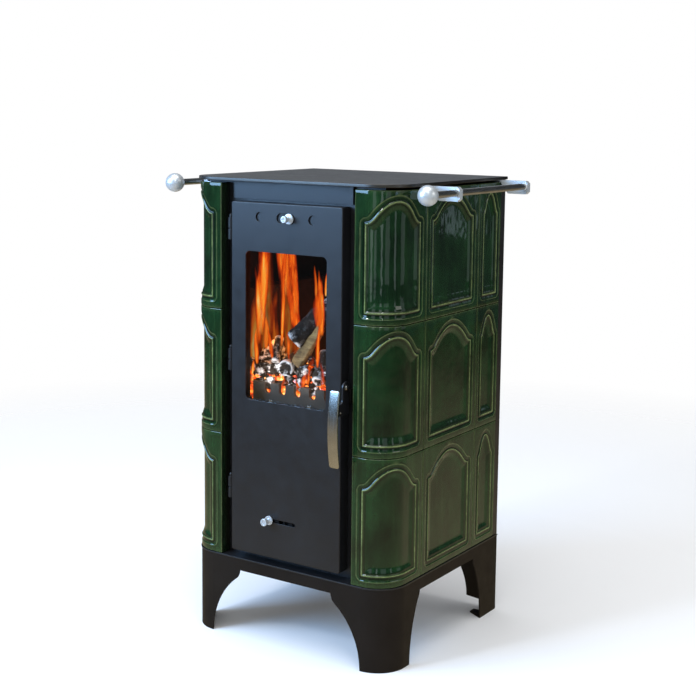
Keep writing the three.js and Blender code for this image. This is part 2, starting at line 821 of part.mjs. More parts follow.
function rails() {
  const group = new THREE.Group();
  for (const [sideName, side] of sides) {
    part(group, `rail_ball_${sideName}`, railBall(side), nickel);
    part(group, `rail_rod_${sideName}`, railRod(side), nickel);
    part(group, `rail_bracket_${sideName}_front`, railBracket(side, bracketY[0]), nickel);
    part(group, `rail_bracket_${sideName}_rear`, railBracket(side, bracketY[1]), nickel);
  }
  return group;
}

// ---------- the stove ----------

const stove = new THREE.Group();
stove.add(tiles(), plinth(), topPlate(), body(), inside(), door(), rails());
part(stove, 'latch_keeper', latchKeeper(), rawSteel);

export default stove;
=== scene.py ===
"""The looks of a tiled wood burning stove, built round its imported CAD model.

Metres, +Z up. The door faces -Y, and +X is on the right when facing the door.
"""

import json
import random
from math import asin, copysign, cos, pi, radians, sin, sqrt, tan

import bmesh
import bpy
import numpy as np
from mathutils import Matrix, Vector, noise
from mathutils.geometry import tessellate_polygon

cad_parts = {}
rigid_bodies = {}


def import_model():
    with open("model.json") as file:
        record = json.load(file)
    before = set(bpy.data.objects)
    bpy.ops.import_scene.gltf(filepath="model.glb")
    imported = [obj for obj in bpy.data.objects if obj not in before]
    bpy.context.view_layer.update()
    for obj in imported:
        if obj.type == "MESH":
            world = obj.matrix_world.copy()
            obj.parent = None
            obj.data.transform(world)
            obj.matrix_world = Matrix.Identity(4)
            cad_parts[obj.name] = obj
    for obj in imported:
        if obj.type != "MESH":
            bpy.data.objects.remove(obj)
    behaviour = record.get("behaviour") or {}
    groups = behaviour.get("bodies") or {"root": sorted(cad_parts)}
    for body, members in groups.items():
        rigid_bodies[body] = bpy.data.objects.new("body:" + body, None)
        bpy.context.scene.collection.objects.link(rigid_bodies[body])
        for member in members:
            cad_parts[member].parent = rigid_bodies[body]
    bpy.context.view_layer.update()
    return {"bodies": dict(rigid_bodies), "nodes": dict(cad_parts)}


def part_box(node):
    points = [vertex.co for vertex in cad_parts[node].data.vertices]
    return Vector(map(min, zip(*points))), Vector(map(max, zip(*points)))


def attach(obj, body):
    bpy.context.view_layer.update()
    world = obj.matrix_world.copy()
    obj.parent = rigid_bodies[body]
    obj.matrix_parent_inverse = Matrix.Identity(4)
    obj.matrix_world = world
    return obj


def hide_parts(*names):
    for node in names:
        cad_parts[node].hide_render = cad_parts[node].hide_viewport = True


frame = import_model()
MM = 0.001

SIDES = (("left", -1), ("right", 1))
ROWS = ("bottom", "middle", "top")
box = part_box    # a CAD node's lowest and highest corners


# ---------- outlines: counter-clockwise lists of two numbers ----------


def arc(x, y, radius, start, end, steps):
    """Points of an arc between two angles in degrees."""
    turns = [radians(start + (end - start) * i / steps) for i in range(steps + 1)]
    return [(x + radius * cos(t), y + radius * sin(t)) for t in turns]


def circle(x, y, radius, steps=48):
    return arc(x, y, radius, 0, 360, steps)[:-1]


def rounded_rect(x0, x1, y0, y1, radius, steps=6):
    left, right, low, high = x0 + radius, x1 - radius, y0 + radius, y1 - radius
    corners = ((right, low), (right, high), (left, high), (left, low))
    made = []
    for i, corner in enumerate(corners):
        made += arc(*corner, radius, 90 * i - 90, 90 * i, steps)
    return made


def curve(start, bend, end, steps):
    """Points of a smooth bend between two ends."""
    shares = [i / steps for i in range(steps + 1)]
    return [tuple(start * (1 - t) ** 2 + bend * (2 * t * (1 - t)) + end * t * t) for t in shares]


def rounded(points, radius, closed=True, steps=4):
    """The same outline with its corners rounded."""
    made = []
    count = len(points)
    for i, point in enumerate(points):
        if not closed and i in (0, count - 1):
            made.append(tuple(point))
            continue
        here = Vector(point)
        back = Vector(points[i - 1]) - here
        ahead = Vector(points[(i + 1) % count]) - here
        cut = min(radius, 0.45 * back.length, 0.45 * ahead.length)
        start = here + back.normalized() * cut
        end = here + ahead.normalized() * cut
        made += curve(start, here, end, steps)
    return made


def inset(points, by):
    """A counter-clockwise outline with each side moved inwards."""
    here = np.array(points, float)
    back = here - np.roll(here, 1, axis=0)
    ahead = np.roll(here, -1, axis=0) - here
    back /= np.maximum(np.linalg.norm(back, axis=1, keepdims=True), 1e-12)
    ahead /= np.maximum(np.linalg.norm(ahead, axis=1, keepdims=True), 1e-12)
    inward = np.stack([-back[:, 1] - ahead[:, 1], back[:, 0] + ahead[:, 0]], axis=1)
    share = np.maximum(1 + np.sum(back * ahead, axis=1, keepdims=True), 0.2)
    return [tuple(p) for p in here + by * inward / share]


def mirrored(points, side):
    """The outline on the left or right side, still counter-clockwise."""
    if side > 0:
        return list(points)
    return [(-x, y) for x, y in reversed(points)]


# ---------- meshes ----------

PLACE = {
    "front": lambda a, b, depth: (a, depth, b),
    "side": lambda a, b, depth: (depth, a, b),
    "plan": lambda a, b, depth: (a, b, depth),
}


class Shell:
    """The points and faces of one mesh, gathered loop by loop."""

    def __init__(self):
        self.points = []
        self.faces = []

    def loop(self, points):
        start = len(self.points)
        self.points.extend(tuple(p) for p in points)
        return list(range(start, len(self.points)))

    def laid(self, axis, outline, depth):
        return self.loop([PLACE[axis](a, b, depth) for a, b in outline])

    def bridge(self, a, b, closed=True):
        for i in range(len(a) if closed else len(a) - 1):
            j = (i + 1) % len(a)
            self.faces.append((a[i], a[j], b[j], b[i]))

    def skin(self, loops, closed=True):
        for a, b in zip(loops, loops[1:]):
            self.bridge(a, b, closed)

    def cap(self, *loops):
        """Fills the flat space inside the first loop and outside the others."""
        numbers = [i for loop in loops for i in loop]
        corners = [[Vector(self.points[i]) for i in loop] for loop in loops]
        for triangle in tessellate_polygon(corners):
            self.faces.append(tuple(numbers[i] for i in triangle))

    def plate(self, axis, outline, lo, hi, radius):
        """A flat plate with rounded arrises, between two depths."""
        loops = [self.laid(axis, inset(outline, by), depth) for by, depth in edge_profile(lo, hi, radius)]
        self.skin(loops)
        self.cap(loops[0])
        self.cap(loops[-1])
        return self

    def turned(self, axis, centre, profile, steps=48):
        """(radius, depth) pairs turned about a line through centre."""
        rings = [(circle(*centre, max(radius, 1e-8), steps), depth) for radius, depth in profile]
        self.skin([self.laid(axis, ring, depth) for ring, depth in rings])
        return self

    def mesh(self, name):
        made = bpy.data.meshes.new(name)
        made.from_pydata(self.points, [], self.faces)
        return made

    def piece(self, name, look, replaces=(), body="root", sharp=50):
        return finished(name, mended(self.mesh(name)), look, replaces, body, sharp)


def edge_profile(lo, hi, radius, steps=3):
    """(inset, depth) pairs up the edge of a plate."""
    turns = [pi / 2 * i / steps for i in range(steps + 1)]
    rise = [(radius * (1 - sin(t)), radius * (1 - cos(t))) for t in turns]
    return [(by, lo + up) for by, up in rise] + [(by, hi - up) for by, up in reversed(rise)]


def mended(mesh):
    """The same mesh, with points that meet joined and its faces turned outwards."""
    work = bmesh.new()
    work.from_mesh(mesh)
    bmesh.ops.remove_doubles(work, verts=work.verts, dist=1e-6)
    bmesh.ops.recalc_face_normals(work, faces=work.faces)
    work.to_mesh(mesh)
    work.free()
    return mesh


def placed(name, data):
    """A new object in the scene."""
    made = bpy.data.objects.new(name, data)
    bpy.context.scene.collection.objects.link(made)
    return made


def finished(name, mesh, look, replaces=(), body="root", sharp=50):
    """Makes a mesh into a piece that rides on a body."""
    piece = placed(name, mesh)
    mesh.materials.append(look)
    mesh.shade_smooth()
    if sharp:
        mesh.set_sharp_from_angle(angle=radians(sharp))
        piece.modifiers.new("normals", "WEIGHTED_NORMAL").keep_sharp = True
    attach(piece, body)
    if replaces:
        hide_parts(*replaces)
    return piece


def bevelled(piece, width, angle):
    """Rounds the arrises that are sharper than an angle."""
    bevel = piece.modifiers.new("bevel", "BEVEL")
    bevel.width = width
    bevel.segments = 2
    bevel.limit_method = "ANGLE"
    bevel.angle_limit = radians(angle)
    piece.modifiers.new("normals", "WEIGHTED_NORMAL")


def refine(node, look, edge=0.4 * MM):
    """Rounds a CAD node's arrises with modifiers and gives it a material."""
    shown = frame["nodes"][node]
    mesh = shown.data
    mesh.materials.clear()
    mesh.materials.append(look)
    if "custom_normal" in mesh.attributes:
        mesh.attributes.remove(mesh.attributes["custom_normal"])
    mesh.shade_smooth()
    shown.modifiers.new("weld", "WELD").merge_threshold = 1e-5
    flat = shown.modifiers.new("flat", "DECIMATE")
    flat.decimate_type = "DISSOLVE"
    flat.angle_limit = radians(0.5)
    bevelled(shown, edge, 35)


def store(mesh, **values):
    """Stores numbers for the points of a mesh, which its look reads."""
    for title, numbers in values.items():
        mesh.attributes.new(title, "FLOAT", "POINT").data.foreach_set("value", numbers)


# ---------- materials ----------


class Nodes:
    """A node tree, with short ways to make and link its nodes."""

    def __init__(self, tree):
        self.tree = tree

    def node(self, kind, inputs=(), **settings):
        made = self.tree.nodes.new("ShaderNode" + kind)
        for key, value in settings.items():
            setattr(made, key, value)
        for socket, value in dict(inputs).items():
            self.feed(made.inputs[socket], value)
        return made

    def feed(self, socket, value):
        if isinstance(value, bpy.types.NodeSocket):
            self.tree.links.new(value, socket)
        elif isinstance(value, tuple) and socket.type == "RGBA":
            socket.default_value = (*value, 1)
        else:
            socket.default_value = value

    def span(self, value, low, high, to_low=0, to_high=1):
        """Carries low..high over to to_low..to_high, clamped."""
        limits = {"From Min": low, "From Max": high, "To Min": to_low, "To Max": to_high}
        return self.node("MapRange", {"Value": value, **limits}).outputs[0]

    def math(self, operation, a, b=0.0):
        return self.node("Math", {0: a, 1: b}, operation=operation).outputs[0]

    def times(self, first, *others):
        for other in others:
            first = self.math("MULTIPLY", first, other)
        return first

    def mix(self, share, a, b):
        return self.node("Mix", {0: share, 6: a, 7: b}, data_type="RGBA").outputs[2]

    def both(self, share, a, b):
        """A mix of two shaders."""
        return self.node("MixShader", {0: share, 1: a, 2: b}).outputs[0]


class Look(Nodes):
    """A material whose Principled shader is driven by procedural nodes."""

    def __init__(self, name, **settings):
        self.material = bpy.data.materials.new(name)
        self.material.use_nodes = True
        super().__init__(self.material.node_tree)
        self.shader = self.tree.nodes["Principled BSDF"]
        self.set(**settings)
        self.place = self.node("TexCoord").outputs["Object"]

    def noise(self, scale, detail=3, roughness=0.55, stretch=(1, 1, 1), distortion=0):
        """Noise in the piece's own coordinates, scaled along each axis."""
        place = self.node("Mapping", {"Vector": self.place, "Scale": stretch}).outputs[0]
        inputs = {"Scale": scale, "Detail": detail, "Roughness": roughness, "Distortion": distortion}
        return self.node("TexNoise", {"Vector": place, **inputs}).outputs[0]

    def attribute(self, name):
        return self.node("Attribute", attribute_name=name).outputs["Fac"]

    def ramp(self, value, *stops):
        """A colour ramp of (place, colour) stops."""
        made = self.node("ValToRGB", {"Fac": value})
        points = made.color_ramp.elements
        while len(points) < len(stops):
            points.new(0.5)
        for point, (place, colour) in zip(points, stops):
            point.position = place
            point.color = (*colour, 1)
        return made.outputs[0]

    def bump(self, height, strength, distance, under=None):
        inputs = {"Height": height, "Strength": strength, "Distance": distance}
        if under:
            inputs["Normal"] = under
        return self.node("Bump", inputs).outputs[0]

    def set(self, **sockets):
        """Sets the shader's own sockets."""
        for key, value in sockets.items():
            self.feed(self.shader.inputs[key.replace("_", " ").title().replace("Ior", "IOR")], value)
        return self.material

    def surface(self, shader):
        """Shows another shader in place of the Principled one."""
        self.feed(self.tree.nodes["Material Output"].inputs["Surface"], shader)
        if not self.shader.outputs[0].is_linked:
            self.tree.nodes.remove(self.shader)
        return self.material


def glaze():
    """A clear bottle-green glaze: thin and pale on arrises, with a painted highlight along them, and dark
    where it pools, with painted shade at the tiles' edges and beside the outer step.
    """
    look = Look("green_glaze", ior=1.5)
    crest = look.attribute("crest")
    pool = look.attribute("pool")
    cloud = look.noise(14, 4, 0.6)
    runs = look.noise(150, 4, 0.65, stretch=(1, 1, 0.045))
    veil = look.noise(34, 3, 0.6, stretch=(1, 1, 0.16))
    body = look.mix(look.span(cloud, 0.3, 0.7), (0.003, 0.010, 0.004), (0.008, 0.032, 0.010))
    body = look.mix(look.span(veil, 0.5, 0.75, 0, 0.5), body, (0.015, 0.048, 0.015))
    body = look.mix(look.span(runs, 0.55, 0.75, 0, 0.3), body, (0.030, 0.080, 0.026))
    # Darkest green where the glaze pools in hollows, plus painted shade at the tiles' edges and beside the
    # outer step.
    body = look.mix(look.times(pool, 0.9), body, (0.0012, 0.0045, 0.002))
    speck = look.span(look.noise(260, 3, 0.7), 0.35, 0.62, 0.55, 1.0)
    worn = look.span(look.noise(26, 3, 0.6), 0.32, 0.62, 0.35, 1.0)
    pale_glaze_and_highlight = look.times(crest, speck, worn)
    # Pale yellow-green on the crests: the glaze thinned on its arrises, plus a painted highlight along them.
    colour = look.mix(pale_glaze_and_highlight, body, (0.25, 0.30, 0.115))
    wave = look.bump(look.noise(20, 2, 0.5), 0.25, 0.004)
    wave = look.bump(look.noise(90, 2, 0.5, stretch=(1, 1, 0.3)), 0.16, 0.0012, wave)
    rough = look.span(look.noise(50, 3, 0.6), 0.3, 0.7, 0.03, 0.07)
    return look.set(base_color=colour, roughness=rough, normal=wave)


def stove_paint(name, dark, light, roughness, shine):
    """Matt heat-proof paint: a fine grain and faint clouds."""
    look = Look(name, specular_ior_level=shine)
    cloud = look.noise(7, 4, 0.6)
    grain = look.noise(900, 3, 0.7)
    colour = look.mix(look.span(cloud, 0.3, 0.7), dark, light)
    rough = look.span(look.noise(40, 4, 0.6), 0.3, 0.7, roughness - 0.05, roughness + 0.06)
    return look.set(base_color=colour, roughness=rough, normal=look.bump(grain, 0.16, 0.0004))


def worked_metal(name, dark, light, roughness, grain=(1, 1, 1), scratch=0.12, metallic=1.0):
    """Bare or plated metal, brushed along the axis where grain is small."""
    look = Look(name, metallic=metallic)
    lines = look.noise(700, 4, 0.65, stretch=grain)
    cloud = look.noise(18, 4, 0.6)
    colour = look.mix(look.span(cloud, 0.3, 0.7), dark, light)
    colour = look.mix(look.span(lines, 0.3, 0.75, 0, 0.4), colour, light)
    rough = look.span(lines, 0.3, 0.7, roughness * 0.8, roughness * 1.25)
    return look.set(base_color=colour, roughness=rough, normal=look.bump(lines, scratch, 0.0002))


def cast_iron():
    look = Look("cast_iron", metallic=0.0)
    cloud = look.noise(25, 4, 0.6)
    colour = look.mix(look.span(cloud, 0.3, 0.7), (0.035, 0.033, 0.031), (0.075, 0.068, 0.062))
    pits = look.noise(350, 4, 0.7)
    rough = look.span(cloud, 0.3, 0.7, 0.55, 0.8)
    return look.set(base_color=colour, roughness=rough, normal=look.bump(pits, 0.5, 0.0008))


def fireclay():
    look = Look("fireclay", roughness=0.95)
    soot = look.noise(9, 5, 0.6)
    colour = look.ramp(
        soot, (0.4, (0.008, 0.006, 0.005)), (0.6, (0.03, 0.021, 0.015)), (0.8, (0.10, 0.07, 0.045)),
    )
    return look.set(base_color=colour, normal=look.bump(look.noise(260, 5, 0.7), 0.6, 0.0015))


def rope():
    look = Look("rope_seal", roughness=0.95)
    twist = look.node("TexWave", {"Vector": look.place, "Scale": 130, "Distortion": 1.5}).outputs[1]
    colour = look.mix(twist, (0.05, 0.048, 0.045), (0.17, 0.165, 0.155))
    return look.set(base_color=colour, normal=look.bump(twist, 0.7, 0.001))


def window_glass():
    """A clear pane: sharp reflections over a faintly tinted view."""
    look = Look("door_glass")
    clear = look.node("BsdfTransparent", {"Color": (0.93, 0.94, 0.93)}).outputs[0]
    haze = look.span(look.noise(30, 4, 0.6), 0.4, 0.8, 0.02, 0.05)
    mirror = look.node("BsdfGlossy", {"Color": (1, 1, 1), "Roughness": haze}).outputs[0]
    return look.surface(look.both(look.node("Fresnel", {"IOR": 1.35}).outputs[0], clear, mirror))


def charred_wood():
    """Burnt logs: black scales, grey ash on their edges and glowing cracks."""
    look = Look("charred_wood", roughness=0.9)
    inputs = {"Vector": look.place, "Scale": 55}
    scales = look.node("TexVoronoi", inputs, feature="DISTANCE_TO_EDGE").outputs["Distance"]
    cloud = look.noise(24, 5, 0.65)
    patches = look.span(look.noise(75, 5, 0.7), 0.52, 0.6)
    ring = look.span(look.attribute("ash"), 1.0, 2.0)
    ash = look.math("MAXIMUM", look.times(patches, look.attribute("ash")), ring)
    colour = look.mix(look.span(cloud, 0.4, 0.7), (0.006, 0.005, 0.005), (0.05, 0.035, 0.025))
    colour = look.mix(ash, colour, (0.80, 0.80, 0.83))
    crack = look.span(scales, 0.0, 0.09, 1, 0)
    glow = look.times(crack, look.span(cloud, 0.42, 0.6), look.attribute("heat"), 6.0)
    look.set(base_color=colour, emission_color=(1.0, 0.16, 0.02), emission_strength=glow)
    return look.set(normal=look.bump(scales, 0.8, 0.004))


def split_wood():
    """A fresh split log: pale grain with scorched ends."""
    look = Look("split_wood", roughness=0.8)
    rings = look.noise(160, 4, 0.6, stretch=(0.15, 1, 1), distortion=0.4)
    colour = look.mix(look.span(rings, 0.3, 0.7), (0.20, 0.11, 0.04), (0.48, 0.33, 0.14))
    scorch = look.span(look.noise(30, 4, 0.6), 0.42, 0.62)
    colour = look.mix(look.times(scorch, 0.9), colour, (0.03, 0.018, 0.01))
    return look.set(base_color=colour, normal=look.bump(rings, 0.5, 0.002))


def ember():
    """Live coals: orange hearts with a skin of grey and white ash."""
    look = Look("ember", roughness=0.95, emission_strength=2.6)
    cloud = look.noise(70, 4, 0.65)
    heat = look.ramp(
        cloud, (0.36, (0.0, 0.0, 0.0)), (0.47, (0.55, 0.03, 0.0)), (0.58, (1.0, 0.22, 0.02)),
        (0.7, (1.0, 0.62, 0.2)),
    )
    ash = look.span(look.noise(95, 4, 0.7), 0.5, 0.62)
    colour = look.mix(ash, (0.012, 0.01, 0.01), (0.7, 0.7, 0.72))
    return look.set(base_color=colour, emission_color=heat, normal=look.bump(cloud, 0.6, 0.004))


def flame():
    """A sheet of burning gas: streaks that run up it and fade at its edges."""
    look = Look("flame")
    up = look.attribute("up")
    streak = look.span(look.noise(110, 4, 0.6, stretch=(1, 1, 0.10), distortion=0.6), 0.33, 0.68)
    tongue = look.span(look.noise(34, 3, 0.55, stretch=(1, 1, 0.24), distortion=0.7), 0.32, 0.66)
    heat = look.math("ADD", look.times(streak, 0.62), look.times(tongue, 0.58))
    core = look.math("POWER", look.math("SUBTRACT", 1.0, look.attribute("across")), 0.6)
    heat = look.times(heat, core, look.span(up, 0.0, 1.0, 1.12, 0.66))
    colour = look.ramp(
        heat, (0.10, (0.10, 0.004, 0.0)), (0.30, (0.62, 0.040, 0.002)), (0.52, (1.0, 0.16, 0.008)),
        (0.72, (1.0, 0.38, 0.04)), (0.92, (1.0, 0.72, 0.24)),
    )
    light = look.node("Emission", {"Color": colour, "Strength": 1.15}).outputs[0]
    solid = look.span(heat, 0.14, 0.52, 0, 0.92)
    ends = look.times(look.span(up, 0.8, 1.0, 1, 0), look.span(up, 0.0, 0.08))
    share = look.times(solid, ends, look.attribute("thick"))
    return look.surface(look.both(share, look.node("BsdfTransparent").outputs[0], light))


GLAZE = glaze()
PAINT = stove_paint("body_paint", (0.0075, 0.0075, 0.0085), (0.0115, 0.012, 0.0135), 0.38, 0.5)
# Near-black paint for the lower air slide: painted shadow behind the door's lower slot.
PAINTED_SLOT_SHADOW = stove_paint("painted_slot_shadow", (0.0025, 0.0025, 0.003), (0.004, 0.004, 0.0045), 0.6, 0.15)
PLINTH = stove_paint("plinth_paint", (0.0090, 0.0065, 0.0048), (0.0145, 0.0105, 0.0078), 0.5, 0.12)
HOB = worked_metal("hob_steel", (0.060, 0.055, 0.050), (0.12, 0.11, 0.10), 0.38, (1, 0.05, 1), 0.2)
RAW = worked_metal("raw_steel", (0.030, 0.028, 0.027), (0.075, 0.070, 0.066), 0.55, (0.05, 1, 1))
BRUSHED = worked_metal("handle_steel", (0.36, 0.36, 0.34), (0.54, 0.54, 0.51), 0.24, (1, 1, 0.03), 0.25)
NICKEL = worked_metal("nickel", (0.50, 0.54, 0.57), (0.72, 0.76, 0.79), 0.34, (1, 0.1, 1), 0.05, 0.6)
ROD = worked_metal("rod_steel", (0.34, 0.34, 0.33), (0.52, 0.52, 0.51), 0.28, (1, 0.03, 1), 0.15)
IRON = cast_iron()
CLAY = fireclay()
ROPE = rope()
GLASS = window_glass()
CHAR = charred_wood()
WOOD = split_wood()
EMBER = ember()
FLAME = flame()


# ---------- ceramic tiles ----------

TILE_CORNER = 62 * MM       # the outer radius of a corner tile
TILE_LIP = 2.2 * MM         # the rounding of a tile's own edges
TILE_WALL = 12 * MM
TILE_RIM = 27 * MM
PANEL_LOW = 23 * MM         # the moulded panel's bottom, above the tile's
PANEL_SHOULDER = 187 * MM
PANEL_TOP = 228 * MM
PANEL_MARGIN = 24 * MM      # from the tile's edge to the panel's side


def ogee(share, hollow):
    """The rise of the panel's arch: hollow from its shoulder at 0, then round to its crown at 1."""
    if share < hollow:
        return share * share / hollow
    return 1 - (1 - share) ** 2 / (1 - hollow)


def panel_outline(length, margins, hollow, steps=40):
    """The moulded panel on a tile's face, as (along, up) points."""
    start, end = margins[0], length - margins[1]
    middle, half = (start + end) / 2, (end - start) / 2
    points = [(start, PANEL_LOW), (end, PANEL_LOW)]
    for i in range(steps + 1):
        along = end + (start - end) * i / steps
        rise = ogee(1 - abs(along - middle) / half, hollow)
        points.append((along, PANEL_SHOULDER + (PANEL_TOP - PANEL_SHOULDER) * rise))
    return points


def inside_distance(along, up, outline):
    """How far each point is inside a closed outline; outside is negative."""
    nearest = np.full(along.shape, np.inf)
    inside = np.zeros(along.shape, bool)
    for (ax, ay), (bx, by) in zip(outline, outline[1:] + outline[:1]):
        dx, dy = bx - ax, by - ay
        share = np.clip(((along - ax) * dx + (up - ay) * dy) / (dx * dx + dy * dy), 0, 1)
        nearest = np.minimum(nearest, np.hypot(along - ax - share * dx, up - ay - share * dy))
        if ay != by:
            crosses = ((ay > up) != (by > up)) & (along < ax + dx * (up - ay) / dy)
            inside ^= crosses
    return np.where(inside, nearest, -nearest)


def smooth(value, low, high):
    t = np.clip((value - low) / (high - low), 0, 1)
    return t * t * (3 - 2 * t)


# Each step of the moulding: where it starts and ends, from outside the panel's line to inside it, and
# how much deeper the face is after it.
MOULDING = (
    (-11.5, -8.7, 1.2),
    (-8.7, -3.2, 0.6),
    (-3.2, -0.7, -1.7),
    (0.3, 2.8, 2.2),
    (2.8, 17.0, 3.3),
)


def hill(value, middle, width):
    return np.exp(-(((value - middle) / width) ** 2))


def tile_face(along, up, length, height, margins, hollow):
    """Three values over a tile's face: how deep it lies; where the glaze thins, which also carries a painted
    highlight; and where it pools, which also carries painted shade at the edges and beside the outer step.
    """
    within = inside_distance(along, up, panel_outline(length, margins, hollow)) / MM
    edge = np.minimum(np.minimum(along, length - along), np.minimum(up, height - up))
    depth = sum(fall * smooth(within, low, high) for low, high, fall in MOULDING) * MM
    short = np.clip(TILE_LIP - edge, 0, TILE_LIP)
    depth = depth + TILE_LIP - np.sqrt(TILE_LIP ** 2 - short ** 2)
    rim = edge / MM
    # The pale crest lines: glaze thinned on the bead, the outer step and the rim, plus a painted highlight on
    # each.
    crest = 1.1 * hill(within, -0.1, 0.9) + 0.4 * hill(within, -11.4, 0.8) + 0.28 * hill(rim, 1.2, 0.8)
    crest = crest + 0.08 * hill(within, 2.0, 2.0)
    # The dark pools: glaze pooled in the groove, the cove and the field; the dark at the tile's very edge and
    # just outside the outer step is painted shade.
    pool = 1.0 * hill(within, -4.4, 2.2) + 0.9 * hill(within, 4.2, 2.6) + smooth(-rim, -1.0, 0.0)
    pool = pool + 0.3 * smooth(within, 12, 22) + 0.5 * hill(within, -13.5, 1.5)
    return depth, np.clip(crest, 0, 1), np.clip(pool, 0, 1)


def grid_lines(length, bands, coarse):
    """Places along a face: closer together in bands of (start, end, step), with rounded edges."""
    lip = [0, 0.15 * TILE_LIP, 0.4 * TILE_LIP, 0.7 * TILE_LIP, TILE_LIP]
    lines = list(lip)
    stop = length - TILE_LIP
    while lines[-1] < stop - 1e-9:
        here = lines[-1]
        steps = [step for start, end, step in bands if start - 1e-9 <= here < end - 1e-9]
        ahead = [start for start, _, _ in bands if start > here + 1e-9]
        step = min(steps) if steps else coarse
        lines.append(min([here + step, stop] + ahead[:1]))
    return np.array(lines + [length - x for x in reversed(lip[:-1])])


def tile_mesh(name, plan, length, low, height, margins, hollow, side):
    """One glazed tile: its moulded face on a fine grid, and its plain back."""
    first, last = margins[0], length - margins[1]
    fine = 0.8 * MM
    along = grid_lines(length, [
        (first - 12 * MM, first + 4 * MM, fine),
        (first + 4 * MM, last - 4 * MM, 1.4 * MM),
        (last - 4 * MM, last + 12 * MM, fine),
    ], 2.5 * MM)
    up = grid_lines(height, [
        (PANEL_LOW - 12 * MM, PANEL_LOW + 4 * MM, fine),
        (PANEL_LOW + 4 * MM, PANEL_LOW + 19 * MM, 2.5 * MM),
        (PANEL_SHOULDER - 19 * MM, PANEL_TOP + 12 * MM, 0.9 * MM),
    ], 8 * MM)
    grid_a, grid_u = np.meshgrid(along, up, indexing="ij")
    depth, crest, pool = tile_face(grid_a, grid_u, length, height, margins, hollow)
    x, y = plan(grid_a, depth)
    front = np.stack([side * x, y, low + grid_u], axis=-1)

    back_a = [0, *range(4, len(along) - 4, 8), len(along) - 1]
    back_u = [0, *range(4, len(up) - 4, 12), len(up) - 1]
    grid_a, grid_u = np.meshgrid(along[back_a], up[back_u], indexing="ij")
    reach = np.minimum(grid_a, length - grid_a)
    x, y = plan(grid_a, np.where(reach < TILE_WALL, TILE_RIM, TILE_WALL))
    back = np.stack([side * x, y, low + grid_u], axis=-1)

    numbers = np.arange(front.size // 3).reshape(front.shape[:2])
    behind = numbers.size + np.arange(back.size // 3).reshape(back.shape[:2])
    faces = []
    for grid in (numbers, behind):
        corners = [grid[:-1, :-1], grid[1:, :-1], grid[1:, 1:], grid[:-1, 1:]]
        faces += np.stack(corners, axis=-1).reshape(-1, 4).tolist()
    for edge in (0, -1):
        sides = ((numbers[edge], behind[edge], back_u), (numbers[:, edge], behind[:, edge], back_a))
        for rim, far, marks in sides:
            for k, (a, b) in enumerate(zip(marks, marks[1:])):
                faces.append([*rim[a:b + 1].tolist(), int(far[k + 1]), int(far[k])])

    mesh = bpy.data.meshes.new(name)
    points = np.concatenate([front.reshape(-1, 3), back.reshape(-1, 3)])
    mesh.from_pydata(points.tolist(), [], faces)
    plain = np.zeros(behind.size)
    # Stores the glaze's thinning and pooling, with the painted highlight and painted shade they carry.
    store(mesh, crest=np.concatenate([crest.ravel(), plain]), pool=np.concatenate([pool.ravel(), plain]))
    return mended(mesh)


def corner_plan(low, high):
    """Where a corner tile's face runs: along the front, round the corner and back along the side."""
    straight = high.x - TILE_CORNER - low.x
    bend = TILE_CORNER * pi / 2
    centre_x, centre_y = high.x - TILE_CORNER, low.y + TILE_CORNER

    def plan(along, depth):
        turn = np.clip((along - straight) / TILE_CORNER, 0, pi / 2)
        radius = TILE_CORNER - depth
        x = centre_x + radius * np.sin(turn) - np.clip(straight - along, 0, None)
        y = centre_y - radius * np.cos(turn) + np.clip(along - straight - bend, 0, None)
        return x, y

    return plan, straight + bend + high.y - centre_y


def flat_plan(low, high):
    def plan(along, depth):
        return high.x - depth, low.y + along

    return plan, high.y - low.y


def tiles():
    """Eighteen glazed tiles, each on its own CAD node's place."""
    rear_margins = (22 * MM, 17 * MM)
    kinds = {
        "corner": (corner_plan, (PANEL_MARGIN, PANEL_MARGIN), 0.32),
        "centre": (flat_plan, (PANEL_MARGIN, PANEL_MARGIN), 0.24),
        "rear": (flat_plan, rear_margins, 0.22),
    }
    for kind, (plan_of, margins, hollow) in kinds.items():
        low, high = box(f"tile_{kind}_right_bottom")
        plan, length = plan_of(low, high)
        for side_name, side in SIDES:
            for row in ROWS:
                node = f"tile_{kind}_{side_name}_{row}"
                bottom, top = box(node)
                mesh = tile_mesh(node, plan, length, bottom.z, top.z - bottom.z, margins, hollow, side)
                finished("glazed_" + node, mesh, GLAZE, [node], sharp=0)


# ---------- plinth, floor and top ----------


def stove_plan(grow, rear, steps=14):
    """The stove's plan: rounded at the front, square at the back."""
    wide = box("tile_centre_right_bottom")[1].x + grow
    front = box("tile_corner_right_bottom")[0].y - grow
    radius = TILE_CORNER + grow
    return (
        [(-wide, rear)]
        + arc(-wide + radius, front + radius, radius, 180, 270, steps)
        + arc(wide - radius, front + radius, radius, 270, 360, steps)
        + [(wide, rear)]
    )


PLINTH_SHEET = 2.5 * MM
ARCH_TOP = 139.5 * MM       # the underside of the plinth's band
OGEE_WIDE = 7 * MM          # the small curve at the top of each leg
OGEE_TALL = 17 * MM
FRONT_ARCH = (110 * MM, 178.5 * MM)         # its half width at the top and at the foot
SIDE_ARCH = (108 * MM, 144 * MM)
SIDE_ARCH_MIDDLE = 6 * MM


def leg_curve(top_half, foot_half, foot, steps=14):
    """Half an arch, from the band down to the foot, as (from the middle, height)."""
    arc_half, arc_top = top_half + OGEE_WIDE, ARCH_TOP - OGEE_TALL
    bend = Vector((top_half + 0.2 * OGEE_WIDE, ARCH_TOP - 0.65 * OGEE_TALL))
    ogee_curve = curve(Vector((top_half, ARCH_TOP)), bend, Vector((arc_half, arc_top)), 6)[:-1]
    rise, spread = arc_top - foot, foot_half - arc_half
    radius = (spread ** 2 + rise ** 2) / (2 * spread)
    sweep = asin(rise / radius)
    turns = [sweep * (1 - i / steps) for i in range(steps + 1)]
    leg = [(foot_half - radius * (1 - cos(t)), foot + radius * sin(t)) for t in turns]
    return ogee_curve + leg


